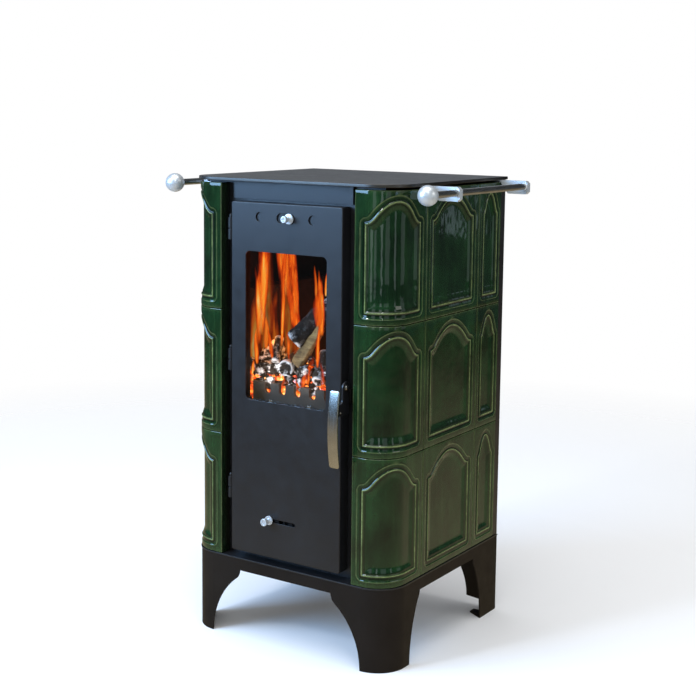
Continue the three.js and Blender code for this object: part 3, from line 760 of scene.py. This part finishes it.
def plinth():
    """The folded skirt on its four legs, with a foot plate turned in at each rear leg."""
    low, high = box("plinth_skirt")
    wide, rear, top = high.x, high.y, high.z
    plan, length = corner_plan(Vector((0, low.y)), high)
    bend = TILE_CORNER * pi / 2
    flat_front = wide - TILE_CORNER
    steps = 12
    side_leg = leg_curve(*SIDE_ARCH, 0.0)
    side_middle = length - rear + SIDE_ARCH_MIDDLE
    edge = [(0.0, ARCH_TOP)] + leg_curve(*FRONT_ARCH, 0.0)
    edge += [(flat_front + bend * i / steps, 0.0) for i in range(steps + 1)]
    edge += [(side_middle - x, z) for x, z in reversed(side_leg)]
    edge += [(side_middle + x, z) for x, z in side_leg] + [(length, 0.0)]
    lower = []
    for along, z in [(-along, z) for along, z in reversed(edge[1:])] + edge:
        x, y = plan(abs(along), 0)
        lower.append((copysign(x, along), y, z))
    shell = Shell()
    shell.bridge(shell.loop(lower), shell.loop([(x, y, top) for x, y, _ in lower]), closed=False)
    mesh = shell.mesh("plinth")
    work = bmesh.new()
    work.from_mesh(mesh)
    bmesh.ops.remove_doubles(work, verts=work.verts, dist=1e-6)
    bmesh.ops.dissolve_degenerate(work, edges=work.edges, dist=1e-6)
    for face in work.faces:
        if face.normal.dot(face.calc_center_median() * Vector((1, 1, 0))) < 0:
            face.normal_flip()
    work.to_mesh(mesh)
    work.free()
    skirt = finished("skirt", mesh, PLINTH, ["plinth_skirt"], sharp=40)
    skirt.modifiers.clear()
    thick = skirt.modifiers.new("sheet", "SOLIDIFY")
    thick.thickness = PLINTH_SHEET
    thick.offset = -1
    thick.use_even_offset = True
    bevelled(skirt, 0.5 * MM, 60)

    inner = wide - PLINTH_SHEET
    turned_in = inner - 33 * MM + PLINTH_SHEET / 2
    start = SIDE_ARCH_MIDDLE + SIDE_ARCH[1]
    slant, end = start + 18 * MM, start + 36 * MM
    outline = [(inner, start), (inner, end), (turned_in, end), (turned_in, slant)]
    for side_name, side in SIDES:
        plan = mirrored(rounded(outline, 2 * MM), side)
        foot_plate = Shell().plate("plan", plan, 0.0, PLINTH_SHEET, 0.5 * MM)
        foot_plate.piece(f"foot_plate_{side_name}", PLINTH)

    low, high = box("plinth_back")
    half, corner_foot, foot = high.x, low.z, low.z + 6 * MM
    leg = leg_curve(FRONT_ARCH[0], 173 * MM, foot)
    back = [(half, corner_foot), (half, high.z), (-half, high.z), (-half, corner_foot)]
    back += [(-x, z) for x, z in reversed(leg)] + leg
    Shell().plate("front", back, low.y, high.y, 0.5 * MM).piece("plinth_rear", PLINTH, ["plinth_back"])


def decks():
    """The floor plate under the tiles and the hob on top of them."""
    plates = (("floor_plate", "floor_ledge", PAINT, 0.6 * MM), ("top_plate", "hob", HOB, 0.9 * MM))
    for node, name, look, edge in plates:
        low, high = box(node)
        plan = stove_plan(high.x - box("tile_centre_right_bottom")[1].x, high.y)
        Shell().plate("plan", plan, low.z, high.z, edge).piece(name, look, [node])


# ---------- door ----------

WINDOW = (-95.5 * MM, 95.5 * MM, 493 * MM, 786 * MM)
WINDOW_CORNER = 10 * MM
UPPER_AIR = 853 * MM
LOWER_AIR = 257 * MM
DOOR_SHEET = 3 * MM


def door_shell():
    """The door's folded front, with its window, air holes and slots."""
    low, high = box("door_skin")
    corner, bend = 5 * MM, 2.2 * MM
    outline = rounded_rect(low.x, high.x, low.z, high.z, corner, 8)
    inner = inset(outline, DOOR_SHEET)
    shell = Shell()
    fold = [(0.4 * MM, high.y), (0.0, high.y - 0.4 * MM)]
    for turn in [pi / 2 * i / 5 for i in range(6)]:
        fold.append((bend * (1 - cos(turn)), low.y + bend * (1 - sin(turn))))
    loops = [shell.laid("front", inset(outline, by), depth) for by, depth in fold]
    shell.skin(loops)
    within = [shell.laid("front", inner, high.y), shell.laid("front", inner, low.y + DOOR_SHEET)]
    shell.skin(within)
    shell.bridge(loops[0], within[0])

    slot_half = 21 * MM
    round_hole = 9 * MM
    hole_x = 62 * MM
    upper_slot, lower_slot = 9.4 * MM, 3.6 * MM
    holes = [
        rounded_rect(*WINDOW, WINDOW_CORNER, 10),
        rounded_rect(-slot_half, slot_half, UPPER_AIR - upper_slot, UPPER_AIR + upper_slot, 9.2 * MM, 10),
        circle(-hole_x, UPPER_AIR, round_hole, 40),
        circle(hole_x, UPPER_AIR, round_hole, 40),
        rounded_rect(-41 * MM, 26 * MM, LOWER_AIR - lower_slot, LOWER_AIR + lower_slot, 3.4 * MM, 8),
    ]
    rims = edge_profile(low.y, low.y + DOOR_SHEET, 0.45 * MM)
    sleeves = [[shell.laid("front", inset(path, -by), depth) for by, depth in rims] for path in holes]
    for sleeve in sleeves:
        shell.skin(sleeve)
    shell.cap(loops[-1], *[sleeve[0] for sleeve in sleeves])
    shell.cap(within[1], *[sleeve[-1] for sleeve in sleeves])
    shell.piece("door_shell", PAINT, ["door_skin"], "door", sharp=60)


def window_clips():
    """Two small clips that show at the foot of the glass."""
    pane = box("door_glass")[0].y
    half = 4 * MM
    for number, x in ((1, -36 * MM), (2, 55 * MM)):
        outline = rounded_rect(x - half, x + half, WINDOW[2] + 0.3 * MM, WINDOW[2] + 4.5 * MM, 1.2 * MM)
        clip = Shell().plate("front", outline, pane - 0.45 * MM, pane - 0.05 * MM, 0.15 * MM)
        clip.piece(f"glass_clip_{number}", BRUSHED, body="door")


def air_knob(node, head_slot):
    """A turned knob: its head, a waist and a washer against the door. One has a cross cut in its head."""
    low, high = box(node)
    centre = ((low.x + high.x) / 2, (low.z + high.z) / 2)
    washer = (high.x - low.x) / 2
    head = washer * (0.65 if head_slot else 0.83)
    waist = head - (2.2 if head_slot else 3.4) * MM
    stem = 3.2 * MM
    front, door = low.y, box("door_skin")[0].y
    neck_end = front + 8 * MM
    washer_front = door - 3.3 * MM
    profile = rounded([
        (waist, neck_end), (waist, washer_front), (washer, washer_front), (washer, door - 0.3 * MM),
        (stem, door - 0.3 * MM), (stem, high.y), (0, high.y),
    ], 0.5 * MM, closed=False)
    dish = 1.1 * MM
    hollow = 0 if head_slot else 2.2 * MM
    shape = [(0, front + hollow), (head * 0.6, front + hollow), (head * 0.72, front)]
    shape += [(head - dish * (1 - sin(t)), front + dish * (1 - cos(t))) for t in (0, pi / 6, pi / 3, pi / 2)]
    shape += [(head, neck_end - 0.4 * MM), (head - 0.4 * MM, neck_end)] + profile
    body = node.replace("_knob", "")
    made = Shell().turned("front", centre, shape).piece(node + "_turned", NICKEL, [node], body, sharp=40)
    if head_slot:
        arm, half = head * 0.62, 0.75 * MM
        quarter = [(half, -arm), (half, -half), (arm, -half)]
        outline = []
        for _ in range(4):
            outline += [(centre[0] + a, centre[1] + b) for a, b in quarter]
            quarter = [(-b, a) for a, b in quarter]
        cross = Shell().plate("front", outline, front - 1 * MM, front + 1.6 * MM, 0.1 * MM)
        carve(made, cross.piece(node + "_cutter", RAW, body=body))


def carve(piece, tool):
    """Cuts tool out of piece, and removes the tool."""
    piece.modifiers.clear()
    cut = piece.modifiers.new("cut", "BOOLEAN")
    cut.operation = "DIFFERENCE"
    cut.object = tool
    cut.solver = "EXACT"
    now = bpy.context.evaluated_depsgraph_get()
    mesh = bpy.data.meshes.new_from_object(piece.evaluated_get(now), depsgraph=now)
    piece.modifiers.clear()
    piece.data = mesh
    mesh.shade_smooth()
    mesh.set_sharp_from_angle(angle=radians(40))
    bpy.data.objects.remove(tool)


def handle():
    """The bowed grip, the lever it is welded to, and the lever's pivot bolt and rivet."""
    low, high = box("handle_grip")
    middle, half_length = (low.z + high.z) / 2, (high.z - low.z) / 2
    half_width = (high.x - low.x) / 2
    centre_x = (low.x + high.x) / 2
    thick = 4 * MM
    end_y = -247 * MM
    bow = end_y - (low.y + thick / 2)
    radius = (half_length ** 2 + bow ** 2) / (2 * bow)
    axis_y = low.y + thick / 2 + radius
    sweep = asin(half_length / radius)
    corner = 5.5 * MM
    section = rounded_rect(-1, 1, -1, 1, 0.5, 4)
    grip = Shell()
    loops = []
    steps = 44
    for i in range(steps + 1):
        share = cos(pi * i / steps) * (1 - 1e-4)
        short = max(corner - half_length * (1 - abs(share)), 0)
        wide = half_width - corner + sqrt(max(corner ** 2 - short ** 2, (0.02 * MM) ** 2))
        taper = min(1.0, sqrt(max(1 - (short / corner) ** 6, 0.02)))
        turn = sweep * share
        rim = []
        for a, b in section:
            out = radius - b * thick / 2 * taper
            rim.append((centre_x + a * wide, axis_y - out * cos(turn), middle + out * sin(turn)))
        loops.append(grip.loop(rim))
    grip.skin(loops)
    grip.cap(loops[0])
    grip.cap(loops[-1])
    grip.piece("grip", BRUSHED, ["handle_grip"], "handle")

    tongue = box("handle_lever")[1].y
    pivot_y, pivot_z = -212 * MM, 543 * MM
    lobe = 12 * MM
    near, far = 134.3 * MM, 138.3 * MM
    arm_top, arm_low = 514 * MM, 492 * MM
    outline = rounded([
        (-250.6 * MM, arm_low), (pivot_y + lobe - 2 * MM, arm_low), (pivot_y + lobe - 2 * MM, 516 * MM),
        (tongue, 520 * MM), (tongue, 531 * MM),
    ], 2 * MM, closed=False)
    outline += arc(pivot_y, pivot_z, lobe, -30, 180, 28)
    outline += rounded([
        (pivot_y - lobe, pivot_z - 4 * MM), (pivot_y - lobe, arm_top + 5 * MM),
        (pivot_y - lobe - 5 * MM, arm_top), (-248.9 * MM, arm_top),
    ], 3 * MM, closed=False)
    Shell().plate("side", outline, near, far, 0.7 * MM).piece("lever", PAINT, ["handle_lever"], "handle")

    def studs(name, centre, profiles):
        """Round heads on the lever, from (radius, how far out of its outer face) in millimetres."""
        shell = Shell()
        for profile, round_off, steps in profiles:
            profile = [(out * MM, far + up * MM) for out, up in profile]
            if round_off:
                profile = rounded(profile, round_off * MM, closed=False)
            shell.turned("side", centre, profile, steps)
        shell.piece(name, BRUSHED, body="handle", sharp=40)

    bolt = ((0, 3.2), (3.6, 3.0), (5, 1.6), (5, 0.4), (6.5, 0.4), (6.5, -0.2), (0, -0.2))
    nut = ((0, -7.2), (3, -7.2), (3, -3.8), (0, -3.8))
    rivet = ((0, 0.9), (1.2, 0.8), (2.0, 0.1), (2.0, -0.3), (0, -0.3))
    studs("lever_pivot", (pivot_y, pivot_z), ((bolt, 0.4, 32), (nut, 0, 24)))
    studs("lever_rivet", (-231 * MM, arm_low + 6 * MM), ((rivet, 0, 24),))


def hinges():
    """Three hinges: a fixed knuckle with its pin, and the door's knuckle on it."""
    x, y = -138.5 * MM, -210 * MM
    knuckle, pin, bore = 6 * MM, 3.7 * MM, 4 * MM
    for row in ROWS:
        low, high = box(f"hinge_post_{row}")
        step, top = low.z + 20 * MM, high.z
        post = Shell().turned("plan", (x, y), rounded([
            (0, low.z), (knuckle, low.z), (knuckle, step), (pin, step), (pin, top - 2 * MM),
            (pin - 1.3 * MM, top), (0, top),
        ], 0.5 * MM, closed=False), 36)
        arm = rounded_rect(x - 2 * MM, x + 2 * MM, low.z + 2 * MM, step - 2 * MM, 0.8 * MM, 3)
        post.plate("front", arm, y + 4 * MM, high.y, 0.4 * MM)
        post.piece(f"hinge_fixed_{row}", PAINT, [f"hinge_post_{row}"], sharp=40)

        low, high = box(f"hinge_knuckle_{row}")
        barrel = Shell().turned("plan", (x, y), rounded([
            (bore, low.z), (knuckle, low.z), (knuckle, high.z), (bore, high.z), (bore, low.z),
        ], 0.5 * MM, closed=False), 36)
        arm = rounded_rect(y - 2 * MM, y + 2 * MM, low.z + 1 * MM, high.z - 1 * MM, 0.8 * MM, 3)
        barrel.plate("side", arm, x + 5 * MM, high.x, 0.4 * MM)
        barrel.piece(f"hinge_moving_{row}", PAINT, [f"hinge_knuckle_{row}"], "door", sharp=40)


# ---------- rails ----------


def rails():
    """A towel rail on each side: ball, rod and two pressed brackets."""
    neck, steps = 8 * MM, 30
    for side_name, _ in SIDES:
        low, high = box(f"rail_ball_{side_name}")
        centre = ((low.x + high.x) / 2, (low.z + high.z) / 2)
        radius = (high.x - low.x) / 2
        last = pi - asin(neck / radius)
        turns = [last * i / steps for i in range(steps + 1)]
        profile = [(radius * sin(t), low.y + radius - radius * cos(t)) for t in turns]
        profile += [(neck, high.y - 0.3 * MM), (neck - 0.3 * MM, high.y), (0, high.y)]
        ball = Shell().turned("front", centre, profile, 56)
        ball.piece(f"ball_{side_name}", NICKEL, [f"rail_ball_{side_name}"], sharp=40)

        low, high = box(f"rail_rod_{side_name}")
        radius, edge = (high.x - low.x) / 2, 0.6 * MM
        profile = [(0, low.y), (radius, low.y), (radius, high.y - edge), (radius - edge, high.y), (0, high.y)]
        rod = Shell().turned("front", centre, profile, 40)
        rod.piece(f"rod_{side_name}", ROD, [f"rail_rod_{side_name}"], sharp=40)
        for end in ("front", "rear"):
            refine(f"rail_bracket_{side_name}_{end}", NICKEL, 0.5 * MM)


# ---------- the fire ----------


BEHIND = tan(radians(33.6))   # how far the view slips sideways per step behind the glass


def seen(across, y, z):
    """The place at depth y that shows at a place across the window, in millimetres."""
    glass = -218
    return Vector((across - (y - glass) * BEHIND, y, z)) * MM


def ember_bed():
    """The bed of embers on the grate behind the log guard."""
    front = box("log_guard")[1].y + 1 * MM
    back = box("firebrick_back")[0].y - 1 * MM
    half = box("firebrick_right")[0].x - 1 * MM
    floor = box("grate")[1].z + 1 * MM
    cols, rows = 110, 90
    shell = Shell()
    top, under = [], []
    for i in range(cols + 1):
        x = half * (2 * i / cols - 1)
        line = []
        for j in range(rows + 1):
            y = front + (back - front) * j / rows
            heap = 9 * noise.noise(Vector((x * 45, y * 45, 3)))
            heap += 6 * noise.noise(Vector((x * 130, y * 130, 8)))
            line.append((x, y, (504 + heap + 16 * j / rows) * MM))
        top.append(shell.loop(line))
        under.append(shell.loop([(x, y, floor) for x, y, _ in line]))
    shell.skin(top, closed=False)
    shell.skin(under, closed=False)
    for edge in (0, -1):
        shell.bridge(top[edge], under[edge], closed=False)
        shell.bridge([line[edge] for line in top], [line[edge] for line in under], closed=False)
    shell.piece("ember_bed", EMBER, sharp=0)


def loose_coals(name, count, look, sizes, heights, seed):
    """Lumps heaped behind the guard."""
    draw = random.Random(seed)
    heap = Shell()
    for number in range(count):
        y = draw.uniform(-164, -105)
        place = seen(draw.uniform(-92, 96), y, 507 + draw.uniform(*heights) + 0.25 * (y + 164))
        size = draw.uniform(*sizes) * MM
        lump = bmesh.new()
        bmesh.ops.create_icosphere(lump, subdivisions=2, radius=1)
        turn = Matrix.Rotation(draw.uniform(0, 6.28), 3, "Z") @ Matrix.Rotation(draw.uniform(0, 3.1), 3, "X")
        shape = Vector((draw.uniform(0.9, 1.9), draw.uniform(0.7, 1.1), draw.uniform(0.5, 0.9)))
        start = len(heap.points)
        for vertex in lump.verts:
            grown = 1 + 0.5 * noise.noise(vertex.co * 1.4 + Vector((number, 0, 0)))
            local = turn @ Vector([c * s for c, s in zip(vertex.co * grown * size, shape)])
            heap.points.append(tuple(place + local))
        heap.faces += [tuple(start + v.index for v in face.verts) for face in lump.faces]
        lump.free()
    burn(heap.piece(name, look, sharp=0), 1.0, 1.0)


def burn(piece, ash, heat, ends=()):
    """Stores how ashy and how hot a piece is, with a ring of ash round each of its ends."""
    ashes = []
    for vertex in piece.data.vertices:
        rings = [hill(abs((vertex.co - end).length - radius), 0, 3.5 * MM) for end, radius in ends]
        ashes.append(ash + 1.8 * max(rings, default=0))
    store(piece.data, ash=ashes, heat=[heat] * len(ashes))


# Each log's ends, in millimetres as seen() takes them, its radius, look, seed, share of ash and heat.
LOGS = {
    "log_end": ((-4, -166, 552), (40, -60, 562), 17, CHAR, 5, 0.2, 0.2),
    "log_left": ((-80, -150, 530), (-20, -120, 590), 17, CHAR, 3, 1.0, 1.0),
    "log_right": ((18, -152, 606), (110, -112, 680), 21, CHAR, 8, 0.06, 0.1),
    "log_pale": ((22, -160, 560), (80, -140, 640), 13, WOOD, 9, 0, 0),
    "log_small": ((76, -166, 534), (92, -120, 584), 13, CHAR, 12, 0.4, 1.0),
    "log_middle": ((-30, -158, 560), (-18, -130, 606), 9, CHAR, 14, 0.3, 0.6),
}


def rough_log(name, start, end, radius, look, seed, ash, heat):
    """A log between two points: uneven bark, or a flat side if it was split, and sunken ends."""
    draw = random.Random(seed)
    start, end = seen(*start), seen(*end)
    way = (end - start).normalized()
    across = way.cross(Vector((0, 0, 1))).normalized()
    above = across.cross(way)
    rings, around = 40, 40
    radius *= MM
    phase = draw.uniform(0, 10)
    shell = Shell()
    loops = []
    for i in range(rings + 1):
        t = i / rings
        narrow = 0.88 + 0.12 * min(min(t, 1 - t) * rings / 3, 1)
        middle = start.lerp(end, t) + across * (0.1 * radius * sin(4 * t + phase))
        loop = []
        for k in range(around):
            turn = 2 * pi * k / around
            facing = cos(turn - 0.6)
            out = min(1.0, 0.4 / max(facing, 0.4)) if look == WOOD else 1.0
            spot = Vector((cos(turn) * 1.3, sin(turn) * 1.3, t * 5 + phase))
            bark = 0.16 * noise.noise(spot) + 0.08 * noise.noise(spot * 3.1) + 0.04 * noise.noise(spot * 8)
            out *= 1 + bark
            loop.append(middle + (across * cos(turn) + above * sin(turn)) * (radius * narrow * out))
        loops.append(shell.loop(loop))
    shell.skin(loops)
    for loop, point, inwards in ((loops[0], start, way), (loops[-1], end, -way)):
        rim = [Vector(shell.points[i]) for i in loop]
        inner = []
        for level in range(1, 6):
            share = level / 6
            sunk = [radius * (0.12 + 0.10 * noise.noise(p * 90 * share)) for p in rim]
            inner.append(shell.loop([p.lerp(point, share) + inwards * by for p, by in zip(rim, sunk)]))
        shell.skin([loop, *inner])
        shell.cap(inner[-1])
    ends = [(start, radius * 0.86), (end, radius * 0.86)]
    burn(shell.piece(name, look, sharp=0), ash, heat, ends)


def flame_tongue(shell, values, root, lean, height, width, seed, thick):
    """Adds one tongue: a thin curved lens that narrows to its tip, or ends where it meets the baffle."""
    rings, around = 40, 14
    reach = min(1.0, (box("baffle")[1].z - root.z) / (height * MM))
    draw = random.Random(seed)
    phase = draw.uniform(0, 20)
    lean, height, width = lean * MM, height * MM, width * MM
    loops = []
    for i in range(rings + 1):
        t = i / rings * reach
        sway = 0.30 * width * sin(4.6 * t + phase) + 0.14 * width * sin(10 * t + 2 * phase)
        middle = root + Vector((lean * t + sway * t, 0.3 * sway, height * t))
        swell = 0.55 + 0.45 * smooth(t, 0.0, 0.3)
        wide = width * swell * (1 - t ** 2.6) ** 0.7 + 0.4 * MM
        deep = wide * 0.2
        turn = radians(33) + 0.3 * sin(3 * t + phase)
        angles = [2 * pi * k / around for k in range(around)]
        facing = Matrix.Rotation(turn, 3, "Z")
        loop = [middle + facing @ Vector((cos(a) * wide, sin(a) * deep, 0)) for a in angles]
        loops.append(shell.loop(loop))
        values["across"] += [abs(cos(a)) for a in angles]
        values["up"] += [t] * around
        values["thick"] += [thick] * around
    shell.skin(loops)
    shell.cap(loops[0])
    shell.cap(loops[-1])


# Tongues of flame, in millimetres: across the window, depth, foot height, lean, height, half width and
# thickness of each.
TONGUES = (
    (-66, -140, 606, 18, 430, 15, 1.0), (-60, -148, 632, 14, 400, 9, 1.0), (-70, -152, 590, -6, 160, 8, 0.6),
    (-6, -136, 690, -4, 400, 20, 1.0), (30, -142, 612, -84, 400, 15, 1.0), (24, -136, 640, -50, 420, 10, 1.0),
    (34, -150, 606, -40, 120, 11, 1.0), (-14, -150, 590, 10, 250, 5, 0.9), (6, -160, 568, -7, 64, 5, 0.9),
    (74, -158, 640, 4, 96, 11, 0.95), (84, -150, 622, -10, 130, 8, 0.9), (92, -146, 700, 4, 60, 4, 0.9),
    (74, -160, 560, 2, 96, 5, 1.0), (70, -150, 690, -6, 70, 4, 0.5),
    (-73, -165, 552, -4, 74, 5, 1.0), (-36, -165, 568, -10, 62, 5, 1.0), (-52, -162, 584, 4, 70, 6, 0.6),
    (38, -166, 516, 24, 70, 8, 1.0), (50, -166, 524, 14, 62, 6, 1.0), (88, -166, 516, -4, 60, 6, 0.9),
    (-86, -166, 512, 4, 50, 5, 0.9), (-9, -167, 502, 3, 34, 6, 0.9), (28, -167, 504, -3, 34, 6, 0.9),
    (-56, -120, 560, 0, 290, 20, 0.16), (0, -110, 560, -6, 290, 20, 0.16), (-84, -145, 540, 6, 150, 14, 0.24),
    (-34, -126, 570, 0, 130, 14, 0.24), (28, -130, 560, -8, 90, 16, 0.24),
)


def flames():
    shell = Shell()
    values = {"across": [], "up": [], "thick": []}
    for number, (across, y, z, *rest, thick) in enumerate(TONGUES):
        flame_tongue(shell, values, seen(across, y, z), *rest, number, thick)
    mesh = shell.mesh("flames")
    store(mesh, **values)
    finished("flames", mesh, FLAME, sharp=0).visible_shadow = False


def fire():
    ember_bed()
    loose_coals("glowing_coals", 110, EMBER, (4, 9), (0, 26), 11)
    loose_coals("ashy_coals", 120, CHAR, (5, 12), (0, 46), 12)
    for name, log in LOGS.items():
        rough_log(name, *log)
    flames()
    orange, pale = (1.0, 0.36, 0.09), (1.0, 0.86, 0.78)
    lights = (
        (-50, -150, 600, 0.12, orange), (10, -140, 590, 0.12, orange),
        (-50, -192, 545, 0.13, pale), (40, -192, 535, 0.09, pale),
    )
    for number, (across, y, z, power, colour) in enumerate(lights):
        lamp = bpy.data.lights.new(f"fire_light_{number}", "POINT")
        lamp.energy = power
        lamp.color = colour
        lamp.shadow_soft_size = 0.02
        held = placed(lamp.name, lamp)
        held.location = seen(across, y, z)
        held.visible_glossy = False
        held.parent = frame["bodies"]["root"]


# ---------- what stays as the CAD made it ----------


def plain_parts():
    """CAD nodes whose shape is right: softened arrises and a material."""
    wanted = {
        PAINT: ["front_frame", "back_panel", "upper_air_slide"],
        # The lower air slide takes the near-black painted shadow.
        PAINTED_SLOT_SHADOW: ["lower_air_slide"],
        RAW: ["firebox_shell", "ash_floor", "ash_pan", "latch_keeper", "door_inner_frame"],
        IRON: ["grate_bed", "grate", "log_guard", "baffle"],
        CLAY: ["firebrick_left", "firebrick_right", "firebrick_back"],
        ROPE: ["door_gasket"],
        GLASS: ["door_glass"],
    }
    for look, nodes in wanted.items():
        for node in nodes:
            refine(node, look)


def flue():
    """The outlet at the back: a rolled collar through a round flange."""
    low, high = box("flue_collar")
    flange = (high.x - low.x) / 2
    outer = flange - 10 * MM
    bore = outer - 2 * MM
    face = box("back_panel")[1].y + 0.3 * MM
    back = face + 2.7 * MM
    profile = rounded([
        (bore, low.y), (outer, low.y), (outer, face), (flange, face), (flange, back), (outer, back),
        (outer, high.y), (bore, high.y), (bore, low.y),
    ], 0.6 * MM, closed=False)
    collar = Shell().turned("front", ((low.x + high.x) / 2, (low.z + high.z) / 2), profile, 72)
    collar.piece("flue_outlet", PAINT, ["flue_collar"], sharp=40)


# ---------- camera, stage and light ----------


def camera():
    """A camera a little above the stove, to the right of its front."""
    azimuth, pitch, roll = radians(33.56), radians(7.38), radians(0.62)
    data = bpy.data.cameras.new("camera")
    data.sensor_width = 36
    data.lens = 69.26
    data.shift_y = -0.0977
    held = placed("camera", data)
    aim = Matrix.Rotation(azimuth, 4, "Z") @ Matrix.Rotation(pi / 2 - pitch, 4, "X")
    held.matrix_world = Matrix.Translation((1.498, -2.261, 1.065)) @ aim @ Matrix.Rotation(roll, 4, "Z")
    bpy.context.scene.camera = held


def floor_sheet():
    """A pale floor that fades into the background. In reflections it is a warm wooden one."""
    look = Look("stage_floor", base_color=(0.9, 0.9, 0.9), roughness=0.8, specular_ior_level=0.1)
    reach = look.node("VectorMath", {0: look.place}, operation="LENGTH").outputs["Value"]
    rays = look.node("LightPath").outputs
    glow = {"Color": (0.52, 0.42, 0.27), "Strength": look.span(reach, 0.8, 3.5, 1.0, 0.15)}
    wood = look.node("Emission", glow).outputs[0]
    seen_floor = look.both(rays["Is Glossy Ray"], look.shader.outputs[0], wood)
    fade = look.times(look.span(reach, 0.9, 2.6), rays["Is Camera Ray"])
    look.surface(look.both(fade, seen_floor, look.node("BsdfTransparent").outputs[0]))
    shell = Shell()
    shell.cap(shell.laid("plan", circle(0, 0, 4, 96), 0.0))
    held = placed("floor", shell.mesh("floor"))
    held.data.materials.append(look.material)


def softbox(name, azimuth, distance, height, width, tall, radiance, colour=(1, 1, 1), aim=0.55):
    """An area light at an azimuth round the stove, turned towards it."""
    turn = radians(azimuth)
    data = bpy.data.lights.new(name, "AREA")
    data.shape = "RECTANGLE"
    data.size, data.size_y = width, tall
    data.energy = radiance * pi * width * tall
    data.color = colour
    held = placed(name, data)
    held.location = (sin(turn) * distance, -cos(turn) * distance, height)
    held.rotation_mode = "QUATERNION"
    held.rotation_quaternion = (Vector((0, 0, aim)) - held.location).to_track_quat("-Z", "Y")
    held.visible_camera = False


# Upright strip lights that streak the curved tiles: azimuth, width, height and radiance of each.
STRIPS = (
    (6, 0.55, 1.5, 0.9), (30, 0.30, 1.3, 1.5), (50, 0.80, 1.5, 0.6), (78, 0.30, 1.3, 1.1),
    (110, 0.9, 1.2, 0.5),
)


def studio():
    floor_sheet()
    softbox("window_light", -34, 2.3, 1.47, 1.5, 1.2, 14.0, (0.34, 0.60, 1.0), 0.9)
    softbox("overhead", 0, 0.6, 3.0, 2.4, 2.4, 3.0)
    softbox("side_light", 95, 3.4, 2.1, 1.6, 1.0, 2.4, (1.0, 0.97, 0.92))
    softbox("pane_right", 146.5, 2.4, 0.72, 0.09, 0.22, 0.6, (0.7, 0.9, 1.0))
    softbox("sky_behind", 214, 3.0, 1.75, 2.4, 1.0, 0.5, (0.80, 0.88, 1.0), 0.9)
    for number, (azimuth, width, tall, radiance) in enumerate(STRIPS):
        softbox(f"strip_{number}", azimuth, 2.8, 0.35 + tall / 2, width, tall, radiance, (0.85, 0.97, 1.0))
    softbox("lamp_left", -20, 2.2, 2.3, 0.24, 0.24, 60)
    softbox("lamp_right", 36, 2.2, 2.3, 0.16, 0.16, 60)
    world = bpy.data.worlds.new("studio")
    world.use_nodes = True
    bpy.context.scene.world = world
    sky = Nodes(world.node_tree)
    rays = sky.node("LightPath").outputs
    dim = sky.mix(rays["Is Glossy Ray"], (0.55, 0.56, 0.58), (0.05, 0.055, 0.06))
    white = sky.mix(rays["Is Camera Ray"], dim, (1.0, 1.0, 1.0))
    sky.feed(sky.tree.nodes["Background"].inputs["Color"], white)
    bpy.context.scene.view_settings.view_transform = "Standard"


camera()
studio()
tiles()
plinth()
decks()
door_shell()
window_clips()
air_knob("upper_air_knob", True)
air_knob("lower_air_knob", False)
handle()
hinges()
rails()
flue()
plain_parts()
fire()
